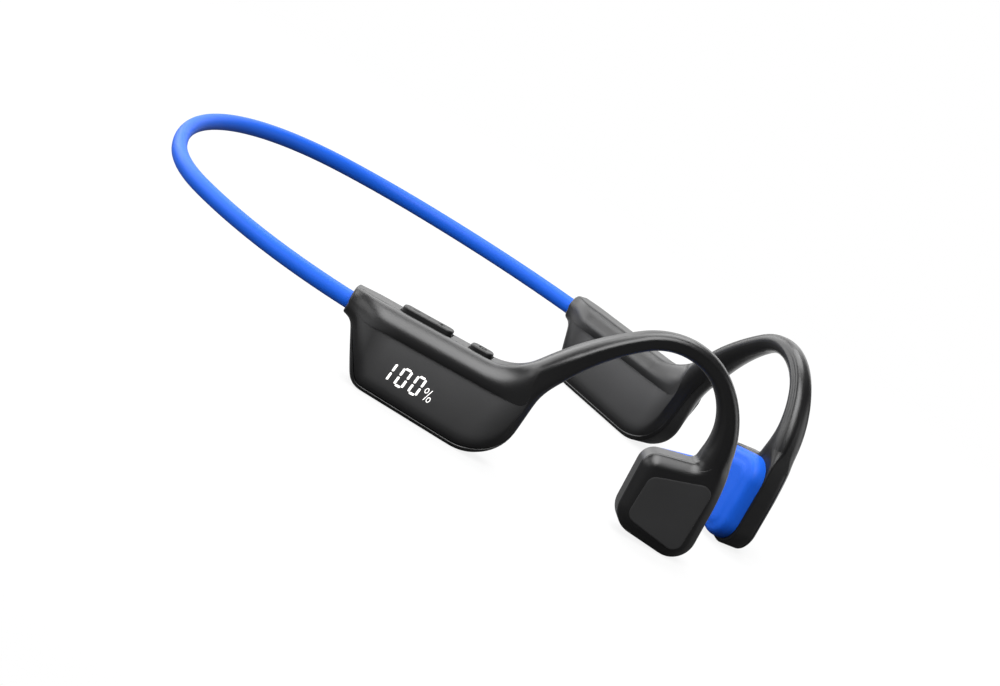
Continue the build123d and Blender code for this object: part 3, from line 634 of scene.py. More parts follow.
    def shoulders(self):
        """Rise of the pod's shoulder from the ridge inward, with and without the turn under."""
        to_hook = smooth(self.zone, 0.88, 1.0)
        width = np.minimum(self.crest, 8.2) * (1 - to_hook) + 5.8 * to_hook
        share = self.places / blurred(width[:, None], 3)
        at, rise = rolled(SHOULDER_LEANS)
        full = np.interp(share, at, np.maximum.accumulate(rise))
        under = full - np.interp(share, at, rise)
        creased = crease_strength(self.grid[..., 0]) * self.in_pod
        return full, full - under * np.where(self.on_face, 0, creased)

    def lip(self):
        """Height of the narrow lip along the pod's lower edge."""
        share = (np.minimum(self.foot, BOTTOM_REACH) / BOTTOM_REACH)[:, None]
        power = (smooth(self.zone, 0.08, 0.2) * (1 - smooth(self.zone, 0.85, 0.97)))[:, None]
        out = self.left / share
        return LIP_RISE * smooth(out, 0, 0.8) * (1 - smooth(out, LIP, LIP + LIP_WIDTH)) * power

    def heights(self):
        """w of the outer face and of the inner face, over the grid."""
        s, h = self.grid[..., 0], self.grid[..., 1]
        middle = (HOUSING_MIDDLE * smooth(self.zone, 1.85, 2.3))[:, None]
        depth = np.where(self.on_face, face_depth(s, h) * self.in_pod, 0)
        body = self.half_thickness() - depth
        wall, roll, low_round = self.walls_and_rolls()
        full, bulge = self.shoulders()
        bulging = smooth(s, 2.5, 11.0) * (1 - smooth(self.zone, 0.8, 1.0))[:, None]
        flat = smooth(self.zone, 1.88, 2.34)[:, None]
        bevel = np.interp(self.edge / BEVEL, *rolled(BEVEL_LEANS))

        # outward, the housing has a bevel and the pod a shoulder that turns under at the crease
        outer = rounding(self.edge / roll)
        outer = outer + (bevel - outer) * flat
        outer = outer + (bulge + low_round - 1 - outer) * bulging

        # towards the head, the housing is flat up to a small roll, and the hook rounder
        inner_wall = wall + (HOUSING_HALF - 0.5 - wall) * flat
        roll = roll + ((0.5 - HOOK_ROLL) * self.span * self.hooked)[:, None]
        roll = roll + (0.7 - roll) * flat
        inner = rounding(self.edge / roll)
        turned = full - 0.4 * (full - bulge)
        inner = inner + (turned + low_round - 1 - inner) * bulging

        outer_face = body - (body - wall) * (1 - outer) + self.lip()
        inner_face = body - (body - inner_wall) * (1 - inner) + self.lip()
        return middle + outer_face, middle - inner_face + self.hollow()

    def hollow(self):
        """Depth of the two shallow hollows along the inner side of the hook's front limb."""
        across = self.places / self.span[:, None]
        limb = (smooth(self.zone, 1.45, 1.7) * (1 - smooth(self.zone, 1.86, 2.0)))[:, None]
        wide = np.exp(-(((across - 0.36) / 0.13) ** 2))
        narrow = np.exp(-(((across - 0.8) / 0.1) ** 2))
        return 0.3 * limb * (wide + 0.5 * narrow)


@lru_cache
def side_form():
    """The form of a side, which both sides share."""
    form = SideForm()
    return form, *form.heights()


def side_loops(keys):
    """A side's surface as closed loops, in wall coordinates: outer face from the upper edge
    down, lower wall, inner face back up, and upper wall. keys adds the buttons' pockets."""
    form, outer, inner = side_form()
    grid, zone = form.grid, form.zone
    lower_steps = np.array([0.03, 0.06, 0.09, 0.14, 0.3, 0.5, 0.7, 0.85, 0.95])
    upper_steps = np.array([0.012, 0.022, 0.029, 0.06, 0.09, 0.25, 0.5, 0.75, 0.91, 0.971, 0.978, 0.988])
    groove = smooth(zone, 2.06, 2.2)[:, None]

    def wall(edge, inward, start, end, steps, sunk):
        w = start[:, None] + (end - start)[:, None] * steps
        place = edge[:, None, :] + inward[:, None, :] * (groove * groove_dent(w) + sunk)[..., None]
        return np.concatenate([place, w[..., None]], axis=-1)

    low_wall = wall(grid[:, -1], form.up, outer[:, -1], inner[:, -1], lower_steps, 0)
    sunk = np.zeros((len(zone), upper_steps.size))
    if keys:
        place = grid[:, 0, 0] / np.cos(np.arctan(RIDGE_RISE))
        inside = np.zeros(len(zone), bool)
        for start, end in (ROCKER, POWER):
            inside |= (place > start - KEY_GAP) & (place < end + KEY_GAP)
        inside &= zone < 1
        sunk[np.ix_(inside, np.arange(2, upper_steps.size - 2))] = POCKET_DEPTH
    high_wall = wall(grid[:, 0], form.down, outer[:, 0], inner[:, 0], upper_steps, sunk)[:, ::-1]
    faces = [np.concatenate([grid, w[..., None]], axis=-1) for w in (outer, inner)]
    loops = np.concatenate([faces[0], low_wall, faces[1][:, ::-1], high_wall], axis=1)

    # the collar's end is eased over its last half millimetre
    collar = 0.1 * (1 - rounding(grid[:, 0, 0] / 0.45)) * (zone < 0.05)
    centre = loops.mean(axis=1, keepdims=True)
    loops = centre + (loops - centre) * (1 - collar[:, None, None])
    # painted light on both faces; the walls between them get none
    painted_light_and_marks = form.marks["painted_light_and_marks"]
    walls = [np.zeros((len(zone), steps.size)) for steps in (lower_steps, upper_steps)]
    painted_light_and_marks = np.concatenate([painted_light_and_marks, walls[0], painted_light_and_marks[:, ::-1], walls[1]], axis=1)
    sizes = {"columns": grid.shape[1], "low": lower_steps.size, "high": upper_steps.size}
    return loops, {**form.marks, **sizes, "painted_light_and_marks": painted_light_and_marks}


def groove_dent(w):
    """Depth of the fine groove round a housing: a bell across its wall."""
    from_groove = (w - HOUSING_MIDDLE - GROOVE_FROM_MIDDLE) / GROOVE_WIDTH
    return GROOVE_DEPTH * np.exp(-(from_groove**2))


# ================================ meshes ================================
def quads(index):
    """Four-cornered faces between the rows and columns of a grid of vertex numbers."""
    return np.stack(
        [index[:-1, :-1], index[1:, :-1], index[1:, 1:], index[:-1, 1:]], axis=-1
    ).reshape(-1, 4)


def numbered(points, first=0):
    """Vertex numbers for a grid of points, row by row from the first."""
    rows, columns = points.shape[:2]
    return first + np.arange(rows * columns).reshape(rows, columns)


def wrapped(index):
    """Vertex numbers with the first column again after the last, so that the rows close."""
    return np.concatenate([index, index[:, :1]], axis=1)


def fan(centre, rim):
    """Triangles from one vertex to each pair of neighbours along a rim."""
    return np.stack([np.full(len(rim) - 1, centre), rim[:-1], rim[1:]], axis=1)


def tube(points, first=0):
    """Closed solid from rows of closed loops, with a fan over each end."""
    index = wrapped(numbered(points, first))
    middle = first + points.shape[0] * points.shape[1]
    corners = np.concatenate([points.reshape(-1, 3), points[[0, -1]].mean(axis=1)])
    return corners, [quads(index), fan(middle, index[0]), fan(middle + 1, index[-1])[:, [0, 2, 1]]]


def joined(parts):
    """Several solids, each made by a function of its first vertex number, as one."""
    corners, faces, first = [], [], 0
    for build in parts:
        points, some = build(first)
        corners.append(points)
        faces += some
        first += len(points)
    return np.concatenate(corners), faces


def outward(corners, faces):
    """The faces, turned round if the volume that they hold comes out negative."""
    volume = 0.0
    for group in faces:
        a = corners[group[:, 0]]
        for k in range(1, group.shape[1] - 1):
            volume += np.einsum("ij,ij->", a, np.cross(corners[group[:, k]], corners[group[:, k + 1]]))
    return [group[:, ::-1] for group in faces] if volume < 0 else faces


def make_piece(name, corners, faces, finish, body, slot, nodes, sharp=40.0, painted_light_and_marks=None):
    """A finished piece in the row frame: mesh, material, body and what it replaces. slot is not used.

    Edges sharper than the given angle, in degrees, stay sharp. The last argument is a value for each of the
    first vertices, 1 where a finish takes its second colour: painted light on the casing, the marks on the
    keys.
    """
    corners = np.asarray(corners) * MM
    faces = outward(corners, faces)
    mesh = bpy.data.meshes.new(name)
    mesh.from_pydata(corners.tolist(), [], [f for group in faces for f in group.tolist()])
    mesh.shade_smooth()
    mesh.set_sharp_from_angle(angle=radians(sharp))
    mesh.materials.append(finish)
    if painted_light_and_marks is not None:
        values = np.zeros(len(corners), np.float32)
        values[: painted_light_and_marks.size] = painted_light_and_marks.ravel()
        mesh.attributes.new("painted_light_and_marks", "FLOAT", "POINT").data.foreach_set("value", values)
    piece = bpy.data.objects.new(name, mesh)
    bpy.context.scene.collection.objects.link(piece)
    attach(piece, body)
    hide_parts(*nodes)


def in_row_frame(points, side):
    """Wall coordinates to the row frame, mirrored for the left side."""
    placed = wall_points(points[..., 0], points[..., 1], points[..., 2])
    return placed * (np.array([-1, 1, 1]) if side == "left" else 1)


def stud(s, h, rings):
    """A turned stud on the right pod's inner face: rings are (radius, height above the face).

    A ring's points are (s + radius cos(angle), h + radius sin(angle)).
    """
    angle = around(32)
    radius, rise = np.array(rings)[..., None].transpose(1, 0, 2)
    w = face_depth(s, h) - pod_half(s) - rise
    loops = np.stack([s + radius * np.cos(angle), h + radius * np.sin(angle), w + 0 * angle], axis=-1)
    loops = in_row_frame(loops, "right")
    return lambda first: tube(loops, first)


def around(count):
    """Angles of that many points round a circle."""
    return np.linspace(0, 2 * pi, count + 1)[:-1]


def closing_strip(start, end, steps):
    """Columns on straight lines between two columns, without their ends."""
    share = np.linspace(0, 1, steps + 2)[1:-1][:, None]
    return start[:, None] + (end - start)[:, None] * share


# ================================ materials ================================
class Sum:
    """A socket that can be used in sums: each operator adds the Math node that does it."""

    def __init__(self, nodes, socket):
        self.nodes = nodes
        self.socket = socket

    def math(self, operation, *values):
        return self.nodes.add("ShaderNodeMath", {"operation": operation}, *values)

    def __add__(self, other):
        return self.math("ADD", self, other)

    def __sub__(self, other):
        return self.math("SUBTRACT", self, other)

    def __mul__(self, other):
        return self.math("MULTIPLY", self, other)

    def __rsub__(self, other):
        return self.math("SUBTRACT", other, self)

    __radd__ = __add__
    __rmul__ = __mul__


class Nodes:
    """The nodes of a material or world under construction, which all come from add."""

    def __init__(self, owner):
        owner.use_nodes = True
        self.tree = owner.node_tree
        self.tree.nodes.clear()

    def feed(self, socket, value):
        """Links a Sum to a socket, or sets the socket to a number or colour."""
        if isinstance(value, Sum):
            self.tree.links.new(value.socket, socket)
        else:
            socket.default_value = (*value, 1.0) if isinstance(value, tuple) else value

    def add(self, kind, settings, *values, out=0, **named):
        """Adds a node, and gives one of its outputs, or the node if it has none.

        Its settings are set first, then its inputs in order or by name. An input given as None
        keeps its own value.
        """
        node = self.tree.nodes.new(kind)
        for name, value in settings.items():
            setattr(node, name, value)
        for socket, value in zip(node.inputs, values):
            if value is not None:
                self.feed(socket, value)
        for name, value in named.items():
            self.feed(node.inputs[name.replace("_", " ")], value)
        return Sum(self, node.outputs[out]) if node.outputs else node


class Recipe(Nodes):
    """A material under construction, with its Principled shader."""

    def __init__(self, name, **constants):
        self.material = bpy.data.materials.new(name)
        super().__init__(self.material)
        self.surface = self.add("ShaderNodeBsdfPrincipled", {}, **constants)
        self.output = self.add("ShaderNodeOutputMaterial", {}, self.surface)
        self.place = self.add("ShaderNodeTexCoord", {}, out="Object")

    def noise(self, size, detail=2.0):
        """Cloudy noise with patches of about that size, in millimetres, between 0 and 1."""
        return self.add("ShaderNodeTexNoise", {}, Vector=self.place, Scale=1 / (size * MM), Detail=detail)

    def mixed(self, share, first, second):
        """A colour that goes from the first to the second as share goes from 0 to 1."""
        numbers_and_vectors = [None] * 5
        return self.add(
            "ShaderNodeMix", {"data_type": "RGBA"}, share, *numbers_and_vectors, first, second, out=2)

    def bump(self, height, depth, strength=1.0):
        """A bump of the given depth in millimetres, into the shader's normal."""
        self.set(Normal=self.add(
            "ShaderNodeBump", {}, Strength=strength, Distance=depth * MM, Height=height, out="Normal"))

    def set(self, **values):
        """Feeds the shader's sockets by name, and gives the finished material."""
        for name, value in values.items():
            self.feed(self.surface.socket.node.inputs[name.replace("_", " ")], value)
        return self.material


def tinted(colour, factor):
    """A colour with each part multiplied by a factor."""
    return tuple(min(part * factor, 1.0) for part in colour)


@lru_cache
def soft_touch(name, colour, roughness, grain=0.012, toned=None, dull=0.06, gloss=0.45):
    """Rubberised moulding: a fine dry grain, faint cloudy wear and no clear gloss.

    Where a piece's attribute of painted light and marks is 1, it has the toned colour and is rougher by
    dull: painted light over the casing's flat faces, the sunk marks on the keys.
    """
    recipe = Recipe(name, Specular_IOR_Level=gloss, Sheen_Weight=0.06, Sheen_Roughness=0.35)
    cloud = recipe.noise(9.0, 3.0)
    fine = recipe.noise(0.16, 2.0)
    recipe.bump(fine, grain, 0.5)
    shade = recipe.mixed(cloud, tinted(colour, 0.82), tinted(colour, 1.18))
    rough = cloud * 0.06 + fine * 0.05 + (roughness - 0.055)
    if toned:
        painted_light_and_marks = recipe.add("ShaderNodeAttribute", {"attribute_name": "painted_light_and_marks"}, out="Fac")
        # the toned colour: painted light on the casing, the sunk marks' colour on the keys
        shade = recipe.mixed(painted_light_and_marks, shade, recipe.mixed(cloud, tinted(toned, 0.9), tinted(toned, 1.1)))
        rough = rough + painted_light_and_marks * dull
    return recipe.set(Base_Color=shade, Roughness=rough)


@lru_cache
def silicone(name, colour):
    """Moulded silicone: a satin skin, a little uneven in colour and gloss."""
    recipe = Recipe(name, Specular_IOR_Level=0.18)
    cloud = recipe.noise(14.0, 3.0)
    fine = recipe.noise(0.3, 2.0)
    return recipe.set(
        Base_Color=recipe.mixed(cloud, tinted(colour, 0.94), tinted(colour, 1.05)),
        Roughness=cloud * 0.08 + fine * 0.06 + 0.42,
    )


@lru_cache
def lit_figures(name, colour):
    """Display segments: white light, a little uneven along each bar."""
    recipe = Recipe(name, Roughness=0.5, Emission_Strength=1.0)
    glow = recipe.noise(0.5, 1.0)
    shade = recipe.mixed(glow, tinted(colour, 0.9), colour)
    return recipe.set(Base_Color=recipe.mixed(glow, (0.5, 0.5, 0.5), (0.6, 0.6, 0.6)), Emission_Color=shade)


@lru_cache
def metal(name, colour, roughness):
    """Drawn or plated metal with fine lines in its roughness."""
    recipe = Recipe(name, Metallic=1.0)
    lines = recipe.noise(0.2, 4.0)
    recipe.bump(lines, 0.004, 0.4)
    return recipe.set(
        Base_Color=recipe.mixed(lines, tinted(colour, 0.9), tinted(colour, 1.08)),
        Roughness=lines * 0.12 + (roughness - 0.06),
    )


def gold():
    """Gold plate, for the charging contacts."""
    return metal("contact_gold", (0.83, 0.6, 0.25), 0.25)


@lru_cache
def board(name, colour):
    """Solder mask over fine copper runs."""
    recipe = Recipe(name)
    runs = recipe.noise(0.9, 0.0)
    return recipe.set(
        Base_Color=recipe.mixed(runs, tinted(colour, 0.7), tinted(colour, 1.4)),
        Roughness=runs * 0.15 + 0.25,
    )


# ================================ sizes and finishes ================================
def length_property(name, description, millimetres):
    """A length that a user can change."""
    return bpy.props.FloatProperty(
        name=name, description=description, default=millimetres * MM, subtype="DISTANCE", unit="LENGTH")


def colour_property(name, description, default):
    """A colour that a user can change."""
    return bpy.props.FloatVectorProperty(
        name=name, description=description, default=default, subtype="COLOR", size=3, min=0, max=1)


class HeadsetSizes(bpy.types.PropertyGroup):
    """Sizes of the pieces that only the looks hold."""

    rocker_rise: length_property("Rocker rise", "Height of the volume rocker above the ridge", 1.25)
    power_rise: length_property("Power key rise", "Height of the power key above the ridge", 1.05)
    figure_height: length_property("Figure height", "Height of a display figure", 4.9775)
    figure_lean: bpy.props.FloatProperty(
        name="Figure lean", description="Lean of the display figures",
        default=radians(6.0), subtype="ANGLE", unit="ROTATION")
    pad_reach: length_property("Pad reach", "Depth of a contact pad", 4.0)


class HeadsetFinish(bpy.types.PropertyGroup):
    """Colours of the headset."""

    casing: colour_property("Casing", "Colour of the rubberised casing", (0.003, 0.003, 0.0033))
    # painted light: the flat faces' paler colour stands in for the light that they catch
    face: colour_property("Flat faces", "Colour of the pods' flat faces", (0.041, 0.041, 0.042))
    cover: colour_property("Cover", "Colour of the transducer covers", (0.016, 0.016, 0.0165))
    keys: colour_property("Keys", "Colour of the keys", (0.0035, 0.0035, 0.0036))
    silicone: colour_property("Silicone", "Colour of the band and the pads", (0.004, 0.073, 0.46))
    figures: colour_property("Figures", "Colour of the lit display figures", (1.0, 0.97, 0.94))


def casing_finish(context):
    """The casing's black, with a paler colour painted on as light over the pods' flat faces and by the
    collar.
    """
    finish = context.scene.headset_finish
    return soft_touch("casing_soft_touch", tuple(finish.casing), 0.34, toned=tuple(finish.face))


# ================================ operators ================================
class HEADSET_OT_stage(bpy.types.Operator):
    """Make the camera, the lamps, the pale floor and the white surroundings"""

    bl_idname = "headset.stage"
    bl_label = "Stage"

    def execute(self, context):
        scene = context.scene
        scene.camera = self.camera(scene)
        self.lamps(scene)
        scene.world = self.surroundings()
        self.floor(scene)
        scene.view_settings.view_transform = "Standard"
        return {"FINISHED"}

    def camera(self, scene):
        """A long lens, turned by its own right and up directions."""
        camera = bpy.data.objects.new("camera", bpy.data.cameras.new("camera"))
        scene.collection.objects.link(camera)
        right, up = Vector(CAMERA_RIGHT), Vector(CAMERA_UP)
        turn = Matrix((right, up, right.cross(up))).transposed().to_4x4()
        camera.matrix_world = Matrix.Translation(CAMERA_PLACE) @ turn
        camera.data.lens = LENS
        camera.data.sensor_width = SENSOR
        camera.data.clip_start = 0.05
        return camera

    def lamps(self, scene):
        """Soft rectangular lamps, which the camera doesn't see."""
        for name, place, aim, size, watts in LAMPS:
            data = bpy.data.lights.new(name, "AREA")
            data.shape = "RECTANGLE"
            data.size, data.size_y = size
            data.energy = watts
            lamp = bpy.data.objects.new(name, data)
            scene.collection.objects.link(lamp)
            lamp.location = place
            lamp.rotation_euler = (Vector(aim) - Vector(place)).to_track_quat("-Z", "Y").to_euler()
            lamp.visible_camera = False

    def surroundings(self):
        """A dim even light, which the camera sees as white."""
        world = bpy.data.worlds.new("surroundings")
        nodes = Nodes(world)
        soft = nodes.add("ShaderNodeBackground", {}, Color=(1, 1, 1), Strength=0.04)
        white = nodes.add("ShaderNodeBackground", {}, Color=(1, 1, 1), Strength=1.0)
        camera = nodes.add("ShaderNodeLightPath", {}, out="Is Camera Ray")
        seen = nodes.add("ShaderNodeMixShader", {}, camera, soft, white)
        nodes.add("ShaderNodeOutputWorld", {}, seen)
        return world

    def floor(self, scene, reach=3.0):
        """A square of paper under the headset, which reaches that far each way in metres."""
        mesh = bpy.data.meshes.new("floor")
        corners = [(-reach, -reach, 0), (reach, -reach, 0), (reach, reach, 0), (-reach, reach, 0)]
        mesh.from_pydata(corners, [], [(0, 1, 2, 3)])
        mesh.materials.append(self.floor_paper())
        floor = bpy.data.objects.new("floor", mesh)
        scene.collection.objects.link(floor)

    def floor_paper(self):
        """Pale paper that looks white to the camera and keeps a faint shadow of the headset.

        To the camera, the paper near the headset is part glow and part lit paper, which add up
        to white where nothing shades it. Further out it is glow alone.
        """
        recipe = Recipe("floor_paper", Base_Color=(0.05, 0.05, 0.05), Roughness=0.9)
        white = recipe.add("ShaderNodeEmission", {}, Strength=1.0)
        glow = recipe.add("ShaderNodeEmission", {}, Strength=0.86)
        lit = recipe.add("ShaderNodeBsdfDiffuse", {}, Color=(0.07, 0.07, 0.07))
        shaded = recipe.add("ShaderNodeAddShader", {}, glow, lit)
        distance = recipe.add("ShaderNodeVectorMath", {"operation": "LENGTH"}, recipe.place, out="Value")
        far = recipe.add("ShaderNodeMapRange", {"interpolation_type": "SMOOTHSTEP"}, distance, 0.13, 0.3)
        seen = recipe.add("ShaderNodeMixShader", {}, far, shaded, white)
        camera = recipe.add("ShaderNodeLightPath", {}, out="Is Camera Ray")
        both = recipe.add("ShaderNodeMixShader", {}, camera, recipe.surface, seen)
        recipe.feed(recipe.output.inputs["Surface"], both)
        return recipe.material


class HEADSET_OT_band(bpy.types.Operator):
    """Make the silicone neckband as an oval swept along arcs in space"""

    bl_idname = "headset.band"
    bl_label = "Neckband"

    def execute(self, context):
        finish = silicone("band_silicone", tuple(context.scene.headset_finish.silicone))
        make_piece("band_sleeve", *tube(self.loops()), finish, "headset", "blue_silicone",
                   ["neckband_sleeve"], 60.0)
        return {"FINISHED"}

    def loops(self):
        """Ovals along the route: line + side (thickness / 2) cos(a) + rise (height / 2) sin(a)."""
        line = self.route()
        tangent = unit(np.gradient(line, axis=0))
        side = unit(np.cross(tangent, [0, 0, 1]))
        rise = np.cross(side, tangent)
        angle = around(64)[:, None]
        return (
            line[:, None]
            + side[:, None] * (BAND_THICKNESS / 2 * np.cos(angle))
            + rise[:, None] * (BAND_HEIGHT / 2 * np.sin(angle))
        )

    def route(self):
        """The band's centre line: from the back, three arcs each way, each tangent to the last.

        An arc from p with unit tangent t to q has the chord c = q - p. With n the part of c
        square to t, made unit, and a the angle from t to c, its points are
        p + R sin(x) t + R (1 - cos(x)) n for x up to 2a, where R = |c| / (2 sin a).
        """
        stops = [np.array([x, BAND_BACK_Y - forward, height]) for x, forward, height in BAND_STOPS]
        start = stops[0]
        tangent = np.array([1.0, 0, 0])
        pieces = []
        for stop in stops[1:]:
            chord = stop - start
            size = np.linalg.norm(chord)
            square = chord - chord @ tangent * tangent
            square /= np.linalg.norm(square)
            a = np.arccos(chord @ tangent / size)
            radius = size / (2 * sin(a))
            x = np.linspace(0, 2 * a, max(8, int(radius * 2 * a / 0.8)))[:, None]
            pieces.append((start + radius * np.sin(x) * tangent + radius * (1 - np.cos(x)) * square)[:-1])
            start = stop
            tangent = cos(2 * a) * tangent + sin(2 * a) * square
        pieces.append(np.array([start, start + tangent]))
        half = np.concatenate(pieces)
        return np.concatenate([half[:0:-1] * [-1, 1, 1], half])


class HEADSET_OT_pods(bpy.types.Operator):
    """Make the shells of both pods and the panels let into their outer faces"""

    bl_idname = "headset.pods"
    bl_label = "Pods"

    def execute(self, context):
        casing = casing_finish(context)
        for side in ("right", "left"):
            loops, marks = side_loops(side == "right")
            in_pod = marks["zone"] <= 1.0
            # the casing's painted light goes with the loops into the panel and the shells
            loops, painted_light_and_marks = loops[in_pod], marks["painted_light_and_marks"][in_pod]
            face = slice(marks["crease"], marks["lip"])
            rows = np.flatnonzero((loops[:, face.start, 0] > PANEL_START) & (loops[:, 0, 0] < PANEL_END))
            span = slice(rows[0], rows[-1] + 1)
            self.panel(side, casing, loops[span, face], painted_light_and_marks[span, face])
            loops = loops.copy()
            loops[rows[0] + 1 : rows[-1], face, 2] -= PANEL_BED
            self.shells(side, casing, loops, painted_light_and_marks, marks)
        return {"FINISHED"}

    def panel(self, side, casing, face, painted_light_and_marks):
        """A thin plate of the outer face, from the crease down to the lip."""
        under = face[:, ::-1] - np.array([0, 0, PANEL_THICKNESS])
        corners, faces = tube(in_row_frame(np.concatenate([face, under], axis=1), side))
        make_piece(f"{side}_side_panel", corners, faces, casing, "headset", "panel",
                   [f"{side}_face_panel"], painted_light_and_marks=np.concatenate([painted_light_and_marks, painted_light_and_marks[:, ::-1]], axis=1))

    def shells(self, side, casing, loops, painted_light_and_marks, marks):
        """The outer shell, which reaches over both edges to the parting, and the back.

        Each is a stretch of the loops' columns, closed by a flat strip between its two edges.
        """
        count, low = marks["columns"], marks["low"]
        below = count + low + marks["parting_bottom"]
        above = 2 * count + low - 1 - marks["parting_top"]
        for name, node, parts in (
            ("shell", "outer", (slice(above, None), slice(0, below))),
            ("back", "inner", (slice(below + 1, above),)),
        ):
            skin = np.concatenate([loops[:, part] for part in parts], axis=1)
            shade = np.concatenate([painted_light_and_marks[:, part] for part in parts], axis=1)
            strip = closing_strip(skin[:, -1], skin[:, 0], 3)
            shade = np.concatenate([shade, np.zeros(strip.shape[:2])], axis=1)
            skin = in_row_frame(np.concatenate([skin, strip], axis=1), side)
            solids = [lambda first: tube(skin, first)]
            if (side, name) == ("right", "back"):
                solids.append(stud(*SOUND_PORT, PORT_RINGS))
            corners, faces = joined(solids)
            make_piece(f"{side}_pod_{name}", corners, faces, casing, "headset", "casing",
                       [f"{side}_pod_{node}_shell"], painted_light_and_marks=shade)


class HEADSET_OT_hooks(bpy.types.Operator):
    """Make both ear hooks as the middle stretch of each side's flowing form"""

    bl_idname = "headset.hooks"
    bl_label = "Ear hooks"

    def execute(self, context):
        for side in ("right", "left"):
            loops, marks = side_loops(False)
            zone = marks["zone"]
            first = np.flatnonzero(zone <= 1.0)[-1]
            last = np.flatnonzero(zone <= 2.0)[-1]
            corners, faces = tube(in_row_frame(loops[first : last + 1], side))
            make_piece(f"{side}_hook_grip", corners, faces, casing_finish(context), "headset", "casing",
                       [f"{side}_ear_hook"])
        return {"FINISHED"}


class HEADSET_OT_transducers(bpy.types.Operator):
    """Make the housings of both transducers and the flat covers let into them"""

    bl_idname = "headset.transducers"
    bl_label = "Transducers"

    def execute(self, context):
        finish = context.scene.headset_finish
        cover = soft_touch("cover_matt", tuple(finish.cover), 0.5)
        for side in ("right", "left"):
            corners, faces = self.housing(side)
            make_piece(f"{side}_transducer_shell", corners, faces, casing_finish(context), "headset",
                       "casing", [f"{side}_transducer_housing"])
            outline = rounded_path(COVER_CORNERS, step=0.15, closed=True)
            make_piece(f"{side}_transducer_plate", *plate(outline, COVER_RINGS, side), cover,
                       "headset", "cover", [f"{side}_transducer_cover"])
        return {"FINISHED"}

    def housing(self, side):
        """The last stretch of the side's form, closed at its start and by a wall along its bottom.

        The wall is a grid of strips between the last row's outer and inner faces. It starts at
        the upper wall's points and ends at the lower wall's, which are fewer than a strip has,
        so the last strip is stitched with triangles.
        """
        loops, marks = side_loops(False)
        loops = loops[np.flatnonzero(marks["zone"] <= 2.0)[-1] :]
        count, low = marks["columns"], marks["low"]
        inside = self.bottom_points(loops[-1], count, low, marks["high"])

        index = numbered(loops)
        body = numbered(inside, index.size)
        outer, low_wall, inner, high_wall = np.split(index[-1], [count, count + low, 2 * count + low])
        inner, high_wall = inner[::-1], high_wall[::-1]
        wall = np.concatenate([outer[1:-1, None], body, inner[1:-1, None]], axis=1)
        first_strip = np.stack([np.concatenate([outer[:1], high_wall, inner[:1]]), wall[0]])
        last_strip = self.stitched(wall[-1], np.concatenate([outer[-1:], low_wall, inner[-1:]]))
        index = wrapped(index)
        points = np.concatenate([loops.reshape(-1, 3), inside.reshape(-1, 3), loops[:1].mean(axis=1)])
        faces = [
            quads(index), quads(wall)[:, ::-1], quads(first_strip)[:, ::-1], last_strip,
            fan(len(points) - 1, index[0]),
        ]
        return in_row_frame(points, side), faces

    def bottom_points(self, last, count, low, high):
        """Points of the bottom wall: edge - outward normal x the groove's depth at w.

        w goes from the upper wall's at the first strip evenly to the lower wall's at the last.
        """
        edge = last[:count, :2]
        outward = left_normals(edge)
        if outward[count // 2, 1] > 0:
            outward = -outward
        start = last[2 * count + low :][::-1][:, 2]
        end = np.interp(np.linspace(0, 1, high), np.linspace(0, 1, low), last[count : count + low, 2])
        share = np.linspace(0, 1, count)[1:-1][:, None]
        w = start * (1 - share) + end * share
        points = edge[1:-1, None] - outward[1:-1, None] * groove_dent(w)[..., None]
        return np.concatenate([points, w[..., None]], axis=-1)

    def stitched(self, strip, ends):
        """Triangles between two rows of vertices with different counts."""
        match = np.round(np.linspace(0, len(ends) - 1, len(strip))).astype(int)
        triangles = []
        for k in range(len(strip) - 1):
            triangles.append((strip[k], strip[k + 1], ends[match[k]]))
            for m in range(match[k], match[k + 1]):
                triangles.append((strip[k + 1], ends[m + 1], ends[m]))
        return np.array(triangles)[:, ::-1]


def plate(outline, rings, side, inner_rings=14):
    """Closed plate over a rounded outline: rings are (inset, w) from the back edge to the face.

    A ring's points are outline + inward normal x inset. Past the last ring the outline shrinks
    straight to its middle, on both faces.
    """
    slope = np.roll(outline, -1, axis=0) - np.roll(outline, 1, axis=0)
    inward = unit(np.stack([-slope[:, 1], slope[:, 0]], axis=1))
    centre = outline.mean(axis=0)
    if ((centre - outline[0]) * inward[0]).sum() < 0:
        inward = -inward
    insets, heights = np.array(rings).T
    points = outline + inward * insets[:, None, None]
    shrink = np.linspace(1, 0.02, inner_rings)[1:, None, None]
    last = centre + (points[-1] - centre) * shrink
    back = centre + (points[0] - centre) * shrink[::-1]
    points = np.concatenate([back, points, last])
    w = np.concatenate([
        np.full(inner_rings - 1, heights[0]), heights, np.full(inner_rings - 1, heights[-1])])
    w = np.broadcast_to(w[:, None], points.shape[:2])
    loops = np.concatenate([points, w[..., None]], axis=-1)
    return tube(in_row_frame(loops, side))


class HEADSET_OT_pads(bpy.types.Operator):
    """Make both contact pads: a flat face inside a soft cove and a rounded flange"""

    bl_idname = "headset.pads"
    bl_label = "Contact pads"

    def execute(self, context):
        reach = context.scene.headset_sizes.pad_reach / MM
        finish = silicone("pad_silicone", tuple(context.scene.headset_finish.silicone))
        outline = rounded_path(PAD_CORNERS, step=0.25, closed=True)
        back = HOUSING_MIDDLE - HOUSING_HALF
        knots = np.arange(len(PAD_PROFILE))
        place = np.linspace(0, knots[-1], 44)
        rings = np.stack([np.interp(place, knots, part) for part in PAD_PROFILE.T], axis=1)
        rings = blurred(rings, 1.2)
        rings[:, 0] = np.maximum(rings[:, 0], 0)
        rings[:, 1] = back - reach * rings[:, 1]
        for side in ("right", "left"):
            make_piece(f"{side}_cheek_pad", *plate(outline, rings, side), finish, "headset",
                       "blue_silicone", [f"{side}_contact_pad"], 60.0)
        return {"FINISHED"}


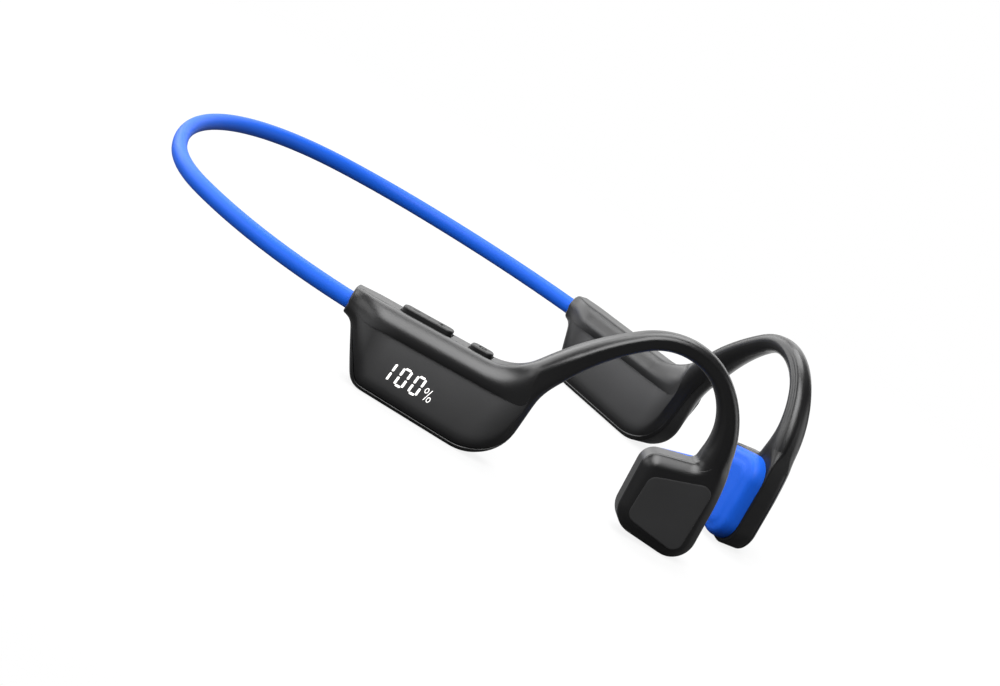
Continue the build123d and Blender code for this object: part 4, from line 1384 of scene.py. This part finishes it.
def ridge_points(x, across, rise):
    """Places over the right pod's ridge: x along it, across it and above it."""
    slope = np.arctan(RIDGE_RISE)
    s = x * np.cos(slope) - rise * np.sin(slope)
    h = COLLAR_TOP + x * np.sin(slope) + rise * np.cos(slope)
    return in_row_frame(np.stack([s, h, across], axis=-1), "right")


def box_distance(x, y, half_x, half_y, radius):
    """Signed distance to a rounded rectangle, negative inside it."""
    dx, dy = np.abs(x) - half_x + radius, np.abs(y) - half_y + radius
    outside = np.hypot(np.maximum(dx, 0), np.maximum(dy, 0))
    return outside + np.minimum(np.maximum(dx, dy), 0) - radius


def round_edge(grid):
    """Values along a grid's edge, once round it."""
    return np.concatenate([grid[:, 0], grid[-1, 1:], grid[-2::-1, -1], grid[0, -2:0:-1]])


def key_solid(start, end, rise, marks, skirt_rows=8):
    """A key: a grid stretched to a rounded rectangle, raised and rounded over its edges.

    The height is rise less a quarter round within KEY_EDGE of the edge, less the sunk marks,
    which are a function of the place along and across from the key's middle. A skirt goes down
    into the pocket. Gives corners, faces and a tone that is 1 in the marks.
    """
    half_x = (end - start) / 2
    u = -np.cos(np.linspace(0, pi, 170))[:, None]
    v = -np.cos(np.linspace(0, pi, 64))[None, :]
    in_corner = np.clip((np.abs(v) * KEY_HALF_WIDTH - KEY_HALF_WIDTH + KEY_CORNER) / KEY_CORNER, 0, 1)
    x = u * (half_x - (1 - np.sqrt(1 - in_corner**2)) * KEY_CORNER)
    y = np.broadcast_to(v * KEY_HALF_WIDTH, x.shape)
    inside = np.clip(-box_distance(x, y, half_x, KEY_HALF_WIDTH, KEY_CORNER), 0, None)
    cut = marks(x, y) * smooth(inside, 0.1, 0.4)
    top = np.stack([x, y, rise - KEY_EDGE * (1 - rounding(inside / KEY_EDGE)) - cut], axis=-1)

    depths = np.linspace(rise - KEY_EDGE - 0.02, KEY_CLEARANCE - POCKET_DEPTH, skirt_rows)
    skirt = np.repeat(round_edge(top)[None], skirt_rows, axis=0)
    skirt[..., 2] = depths[:, None]
    index = numbered(top)
    sides = wrapped(np.concatenate([round_edge(index)[None], numbered(skirt, index.size)]))
    points = np.concatenate([top.reshape(-1, 3), skirt.reshape(-1, 3), [[0, 0, depths[-1]]]])
    corners = ridge_points((start + end) / 2 + points[:, 0], points[:, 1], points[:, 2])
    faces = [quads(index)[:, ::-1], quads(sides), fan(len(points) - 1, sides[-1])]
    return corners, faces, smooth(cut, 0.12, 0.26)


def sunk(distance, depth=0.28, soft=0.08):
    """A mark cut in where a distance is negative, with soft edges."""
    return depth * (1 - smooth(distance, -soft, soft))


class HEADSET_OT_keys(bpy.types.Operator):
    """Make the volume rocker and the power key, with their sunk marks"""

    bl_idname = "headset.keys"
    bl_label = "Keys"

    def execute(self, context):
        sizes = context.scene.headset_sizes
        finish = soft_touch("key_matt", tuple(context.scene.headset_finish.keys), 0.46,
                            toned=(0.0004, 0.0004, 0.0004), dull=0.45, gloss=0.3)

        def rocker_marks(x, y):
            """A minus and a plus, a shallow notch and dish between them, and ribs at the ends."""
            out = 3.15
            minus = box_distance(x + out, y, 0.8, 0.2, 0.1)
            upright = box_distance(x - out, y, 0.2, 0.8, 0.1)
            plus = np.minimum(box_distance(x - out, y, 0.8, 0.2, 0.1), upright)
            notch = box_distance(x, y, 0.16, 4.0, 0.1)
            dish = 0.06 * np.clip(1 - (np.abs(x) / 6.3) ** 2, 0, 1)
            ribs = 0.05 * (0.5 + 0.5 * np.cos(2 * pi * x / 0.42)) * smooth(np.abs(x), 4.2, 4.6)
            return sunk(minus) + sunk(plus) + sunk(notch, 0.1) + dish + ribs

        def power_marks(x, y):
            """A ring with a gap, and a bar in the gap."""
            ring = np.abs(np.hypot(x, y) - 0.8) - 0.16
            gap = box_distance(x, y - 0.6, 0.3, 0.5, 0.1)
            bar = box_distance(x, y - 0.65, 0.15, 0.5, 0.05)
            return sunk(np.minimum(np.maximum(ring, -gap), bar))

        for name, span, rise, marks, body, node in (
            ("volume_keys", ROCKER, sizes.rocker_rise, rocker_marks, "volume_rocker", "volume_rocker"),
            ("power_key", POWER, sizes.power_rise, power_marks, "power_button", "power_button"),
        ):
            corners, faces, painted_light_and_marks = key_solid(*span, rise / MM, marks)
            make_piece(name, corners, faces, finish, body, "button", [node], 50.0, painted_light_and_marks)
        return {"FINISHED"}


class HEADSET_OT_contacts(bpy.types.Operator):
    """Make the two gold charging contacts on the right pod's inner face"""

    bl_idname = "headset.contacts"
    bl_label = "Charging contacts"

    def execute(self, context):
        corners, faces = joined([stud(*place, CONTACT_RINGS) for place in CONTACTS])
        make_piece("charge_pins", corners, faces, gold(), "headset", "contact_gold",
                   ["charging_contacts"])
        return {"FINISHED"}


class HEADSET_OT_figures(bpy.types.Operator):
    """Make the lit figures of the charge display on the right panel"""

    bl_idname = "headset.figures"
    bl_label = "Display figures"

    def execute(self, context):
        sizes = context.scene.headset_sizes
        lean = np.tan(sizes.figure_lean)
        solids = [self.bar(*bar, lean) for bar in self.bars(sizes.figure_height / MM)]
        solids += [self.dot(*place, lean) for place in DOTS]
        corners, faces = joined(solids)
        finish = lit_figures("display_light", tuple(context.scene.headset_finish.figures))
        make_piece("charge_figures", corners, faces, finish, "headset", "display_light",
                   ["display_digits"])
        return {"FINISHED"}

    def bars(self, height):
        """Bars as (x, y, half length, half width, turn): a one, two noughts and the stroke."""
        spread = height - 2 * BAR_HALF
        bars = []
        for figure, right in enumerate(FIGURE_ENDS):
            uprights = (right, right - FIGURE_WIDTH) if figure else (right,)
            bars += [(x, y * spread, UPRIGHT_BAR, BAR_HALF, 90) for x in uprights for y in (0.26, -0.26)]
            if figure:
                middle = right - FIGURE_MIDDLE
                bars += [(middle, y * spread, LEVEL_BAR, BAR_HALF, 0) for y in (0.5, -0.5)]
        return bars + [STROKE]

    def lifted(self, x, y, lean, rings):
        """Flat outlines laid on the panel: rings are (x, y, how far they stand out of it).

        A point's s is x + y tan(lean), and its h is the figures' line + y + the ridge's rise.
        """
        points = []
        for ring_x, ring_y, lift in rings:
            s = x + ring_x + (y + ring_y) * lean
            h = FIGURE_LINE + y + ring_y + RIDGE_RISE * s
            points.append(np.stack([s, h, pod_half(s) - face_depth(s, h) + lift], axis=-1))
        return in_row_frame(np.array(points), "right")

    def bar(self, x, y, half, thick, turn, lean):
        """A display bar: a straight run with round ends, with the edge eased."""
        angle = around(32)
        along_x = np.cos(angle) * thick + np.sign(np.cos(angle)) * (half - thick)
        across = np.sin(angle) * thick
        a = radians(turn)
        px, py = along_x * cos(a) - across * sin(a), along_x * sin(a) + across * cos(a)
        rings = [(px, py, -0.2), (px, py, 0.0), (px * 0.97, py * 0.97, 0.02), (px * 0.5, py * 0.5, 0.02)]
        loops = self.lifted(x, y, lean, rings)
        return lambda first: tube(loops, first)

    def dot(self, x, y, lean):
        """A small oval ring of the percent sign, open in its middle."""
        px, py = np.cos(around(32)), np.sin(around(32))
        outer, inner = (px * 0.45, py * 0.7), (px * 0.28, py * 0.5)
        rings = [(*outer, -0.2), (*outer, 0.02), (*inner, 0.02), (*inner, -0.2)]
        loops = self.lifted(x, y, lean, rings)

        def build(first):
            index = wrapped(numbered(loops, first))
            return loops.reshape(-1, 3), [quads(np.concatenate([index, index[:1]]))]

        return build


class HEADSET_OT_inner_parts(bpy.types.Operator):
    """Give the CAD pieces that no surface replaces their finishes"""

    bl_idname = "headset.inner_parts"
    bl_label = "Inner parts"

    def execute(self, context):
        chosen = context.scene.headset_finish
        casing = casing_finish(context)
        finishes = {
            "contact_gold": gold(),
            "memory_wire": metal("memory_wire", (0.5, 0.5, 0.52), 0.3),
            "foil": metal("battery_foil", (0.6, 0.6, 0.62), 0.4),
            "steel": metal("plain_steel", (0.5, 0.5, 0.5), 0.35),
            "magnet": metal("nickel_plate", (0.62, 0.6, 0.57), 0.2),
            "copper": metal("copper_winding", (0.75, 0.32, 0.16), 0.35),
            "board": board("solder_mask", (0.01, 0.09, 0.04)),
            "cable_jacket": soft_touch("cable_jacket", (0.02, 0.02, 0.02), 0.5),
            "inner_plastic": soft_touch("inner_plastic", (0.07, 0.07, 0.075), 0.5),
            "casing": casing,
            "panel": casing,
            "cover": casing,
            "button": casing,
            "blue_silicone": silicone("band_silicone", tuple(chosen.silicone)),
            "display_light": lit_figures("display_light", tuple(chosen.figures)),
        }
        slots = {part["node"]: part["material_slot"] for part in frame["record"]["subparts"]}
        for name, node in frame["nodes"].items():
            for material_slot in node.material_slots:
                material_slot.material = finishes[slots[name]]
        return {"FINISHED"}


OPERATORS = (
    HEADSET_OT_stage, HEADSET_OT_band, HEADSET_OT_pods, HEADSET_OT_hooks, HEADSET_OT_transducers,
    HEADSET_OT_pads, HEADSET_OT_keys, HEADSET_OT_contacts, HEADSET_OT_figures, HEADSET_OT_inner_parts,
)


class HEADSET_PT_pieces(bpy.types.Panel):
    """Sizes, colours and buttons that make the headset's pieces"""

    bl_label = "Headset"
    bl_idname = "HEADSET_PT_pieces"
    bl_space_type = "VIEW_3D"
    bl_region_type = "UI"
    bl_category = "Headset"

    def draw(self, context):
        layout = self.layout
        for group in (context.scene.headset_sizes, context.scene.headset_finish):
            for name in group.__annotations__:
                layout.prop(group, name)
        for operator in OPERATORS:
            layout.operator(operator.bl_idname)


CLASSES = (HeadsetSizes, HeadsetFinish, *OPERATORS, HEADSET_PT_pieces)


def register():
    for cls in CLASSES:
        bpy.utils.register_class(cls)
    bpy.types.Scene.headset_sizes = bpy.props.PointerProperty(type=HeadsetSizes)
    bpy.types.Scene.headset_finish = bpy.props.PointerProperty(type=HeadsetFinish)


def unregister():
    del bpy.types.Scene.headset_finish
    del bpy.types.Scene.headset_sizes
    for cls in reversed(CLASSES):
        bpy.utils.unregister_class(cls)


def main():
    register()
    for operator in OPERATORS:
        group, name = operator.bl_idname.split(".")
        getattr(getattr(bpy.ops, group), name)()


if __name__ == "__main__":
    main()
